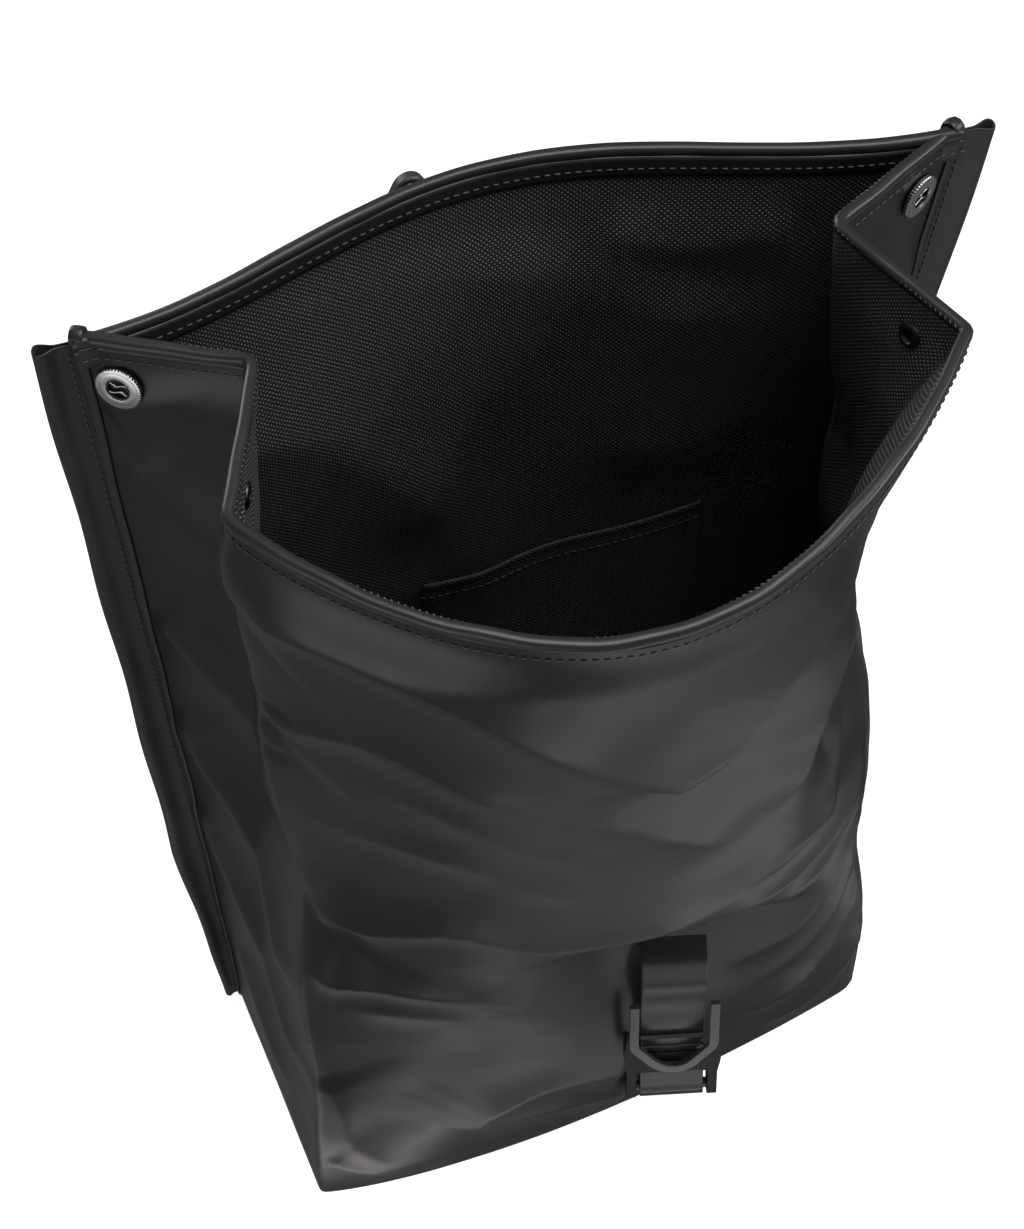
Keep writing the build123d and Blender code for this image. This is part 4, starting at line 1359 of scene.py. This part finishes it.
def web_place(sign):
    x = sign * WEB_AT
    top, _, _ = back_at(x, 127.0, 0.0)
    foot, _, _ = back_at(x, 27.0, 0.0)
    top, foot = top + np.array([0, 31.0, 0]), foot + np.array([0, 4.0, 0])
    down = unit(foot - top)
    made = Place(top, (1, 0, 0), np.cross(np.array([1.0, 0, 0]), down))
    return made, np.linalg.norm(foot - top)


def make_lower_strap(name, sign):
    place, length = web_place(sign)
    y = np.linspace(-7.0, length, 60)
    line = np.stack([0 * y, y, 0 * y], -1)
    web = ribbon(name + "_web", place.put(line), place.x, 25.0, 2.2, WEBBING, WEBBING)
    dress(web, None, "webbing", "bag", name + "_lower_webbing")
    for edge in (-9.5, 9.5):
        row = place.put(np.stack([0 * y + edge, y, 0 * y + 1.1], -1))
        tag = "left" if edge < 0 else "right"
        sew(f"{name}_web_stripe_{tag}", row, place.z, 2.2, 0.8, 0.3)
    x = sign * WEB_AT
    foot = name + "_anchor_tab"
    back_patch(name + "_foot_patch", x - 18, x + 18, 8, 25, 0.6, 5.2, WEBBING, "webbing", foot, cols=20)
    inner, outer, top, bottom, clear = 13.1, 15.9, 6.0, 28.0, 1.6
    parts = [cuboid(-outer, -inner, top, bottom, -3.5, 3.5), cuboid(inner, outer, top, bottom, -3.5, 3.5)]
    for y0 in (top, bottom - 3):
        parts.append(cuboid(-outer, outer, y0, y0 + 3, clear, 3.5))
    parts.append(cuboid(-outer, outer, 15.5, 18.5, -3.5, -clear))
    for k in range(4):
        parts.append(cuboid(-8.0, 8.0, top + 0.4 + 0.65 * k, top + 0.7 + 0.65 * k, 3.3, 3.75))
    lock, body = name + "_ladder_lock", name + "_adjuster"
    hard_piece(lock, place, parts, PLASTIC, "adjuster_plastic", body, body, width=0.6, segments=3)


for strap_name, strap_sign in (("left", -1), ("right", 1)):
    make_shoulder_strap(strap_name, strap_sign)
    make_lower_strap(strap_name, strap_sign)

# ---- Stage, lights and camera ----

GLOW = 0.9
WARM = (1.0, 0.95, 0.92)


def make_stage():
    """A plain white light table, left out of the reflections in the satin shell."""
    material, tree, shader, where = new_material("studio_floor")
    paint(tree, shader, noise(tree, where, 3, 2), [(0.2, (0.34, 0.34, 0.34)), (0.8, (0.36, 0.36, 0.36))])
    shader.inputs["Roughness"].default_value = 0.9
    shader.inputs["Emission Color"].default_value = (1, 1, 1, 1)
    shader.inputs["Emission Strength"].default_value = GLOW
    half = 6000
    corners = [(-half, -half, 0), (half, -half, 0), (half, half, 0), (-half, half, 0)]
    floor = make_piece("studio_floor", corners, [(0, 1, 2, 3)])
    floor.data.materials.append(material)
    floor.visible_glossy = False


# Place, aim, size, power, and for a strip or card its height and colour
LIGHTS = {
    "top_softbox": ((0.2, -0.1, 1.7), (0, 0.05, 0.2), 0.8, 18),
    "right_softbox": ((1.5, -0.7, 1.3), (0, 0, 0.2), 0.8, 20),
    "front_strip": ((0.043, -0.153, 0.008), (0.425, 0.771, 0.158), 0.72, 0.16, 0.022, WARM),
    "corner_strip": ((0.17, -0.145, 0.008), (0.11, -0.055, 0.03), 0.16, 0.045, 0.03, WARM),
    "left_card": ((-0.7, -0.5, 0.3), (-0.1, 0, 0.4), 0.8, 2.8, 0.45),
    "front_card": ((0.3, -0.5, 0.05), (0.682, 0.424, 0.45), 0.9, 1.0, 0.2, WARM),
    "back_softbox": ((-0.5, 1.5, 0.9), (0, 0.05, 0.28), 0.9, 16),
}


def area_light(name, location, aim, size, power, size_y=None, colour=(1, 1, 1)):
    light = bpy.data.lights.new(name, "AREA")
    light.energy = power
    light.size = size
    light.color = colour
    if size_y:
        light.shape = "RECTANGLE"
        light.size_y = size_y
    lamp = bpy.data.objects.new(name, light)
    lamp.location = location
    lamp.rotation_euler = (Vector(aim) - Vector(location)).to_track_quat("-Z", "Y").to_euler()
    bpy.context.scene.collection.objects.link(lamp)


def make_lights():
    world = bpy.data.worlds.new("studio")
    world.use_nodes = True
    world.node_tree.nodes["Background"].inputs["Color"].default_value = (1, 1, 1, 1)
    world.node_tree.nodes["Background"].inputs["Strength"].default_value = 0.2
    bpy.context.scene.world = world
    for name, values in LIGHTS.items():
        area_light(name, *values)


CAMERA_AT = Vector((-0.24337, -0.54499, 1.16728))
CAMERA_AZIMUTH = math.radians(-22.466)
CAMERA_ELEVATION = math.radians(54.769)
CAMERA_ROLL = math.radians(-0.42)


def make_camera():
    data = bpy.data.cameras.new("camera")
    data.lens = 76.3
    data.sensor_width = 36.0
    camera = bpy.data.objects.new("camera", data)
    a, e = CAMERA_AZIMUTH, CAMERA_ELEVATION
    back = Vector((math.sin(a) * math.cos(e), -math.cos(a) * math.cos(e), math.sin(e)))
    camera.location = CAMERA_AT
    camera.rotation_mode = "QUATERNION"
    camera.rotation_quaternion = (-back).to_track_quat("-Z", "Y") @ Quaternion((0, 0, 1), CAMERA_ROLL)
    bpy.context.scene.collection.objects.link(camera)
    bpy.context.scene.camera = camera


make_stage()
make_lights()
make_camera()
bpy.context.scene.view_settings.view_transform = "Standard"
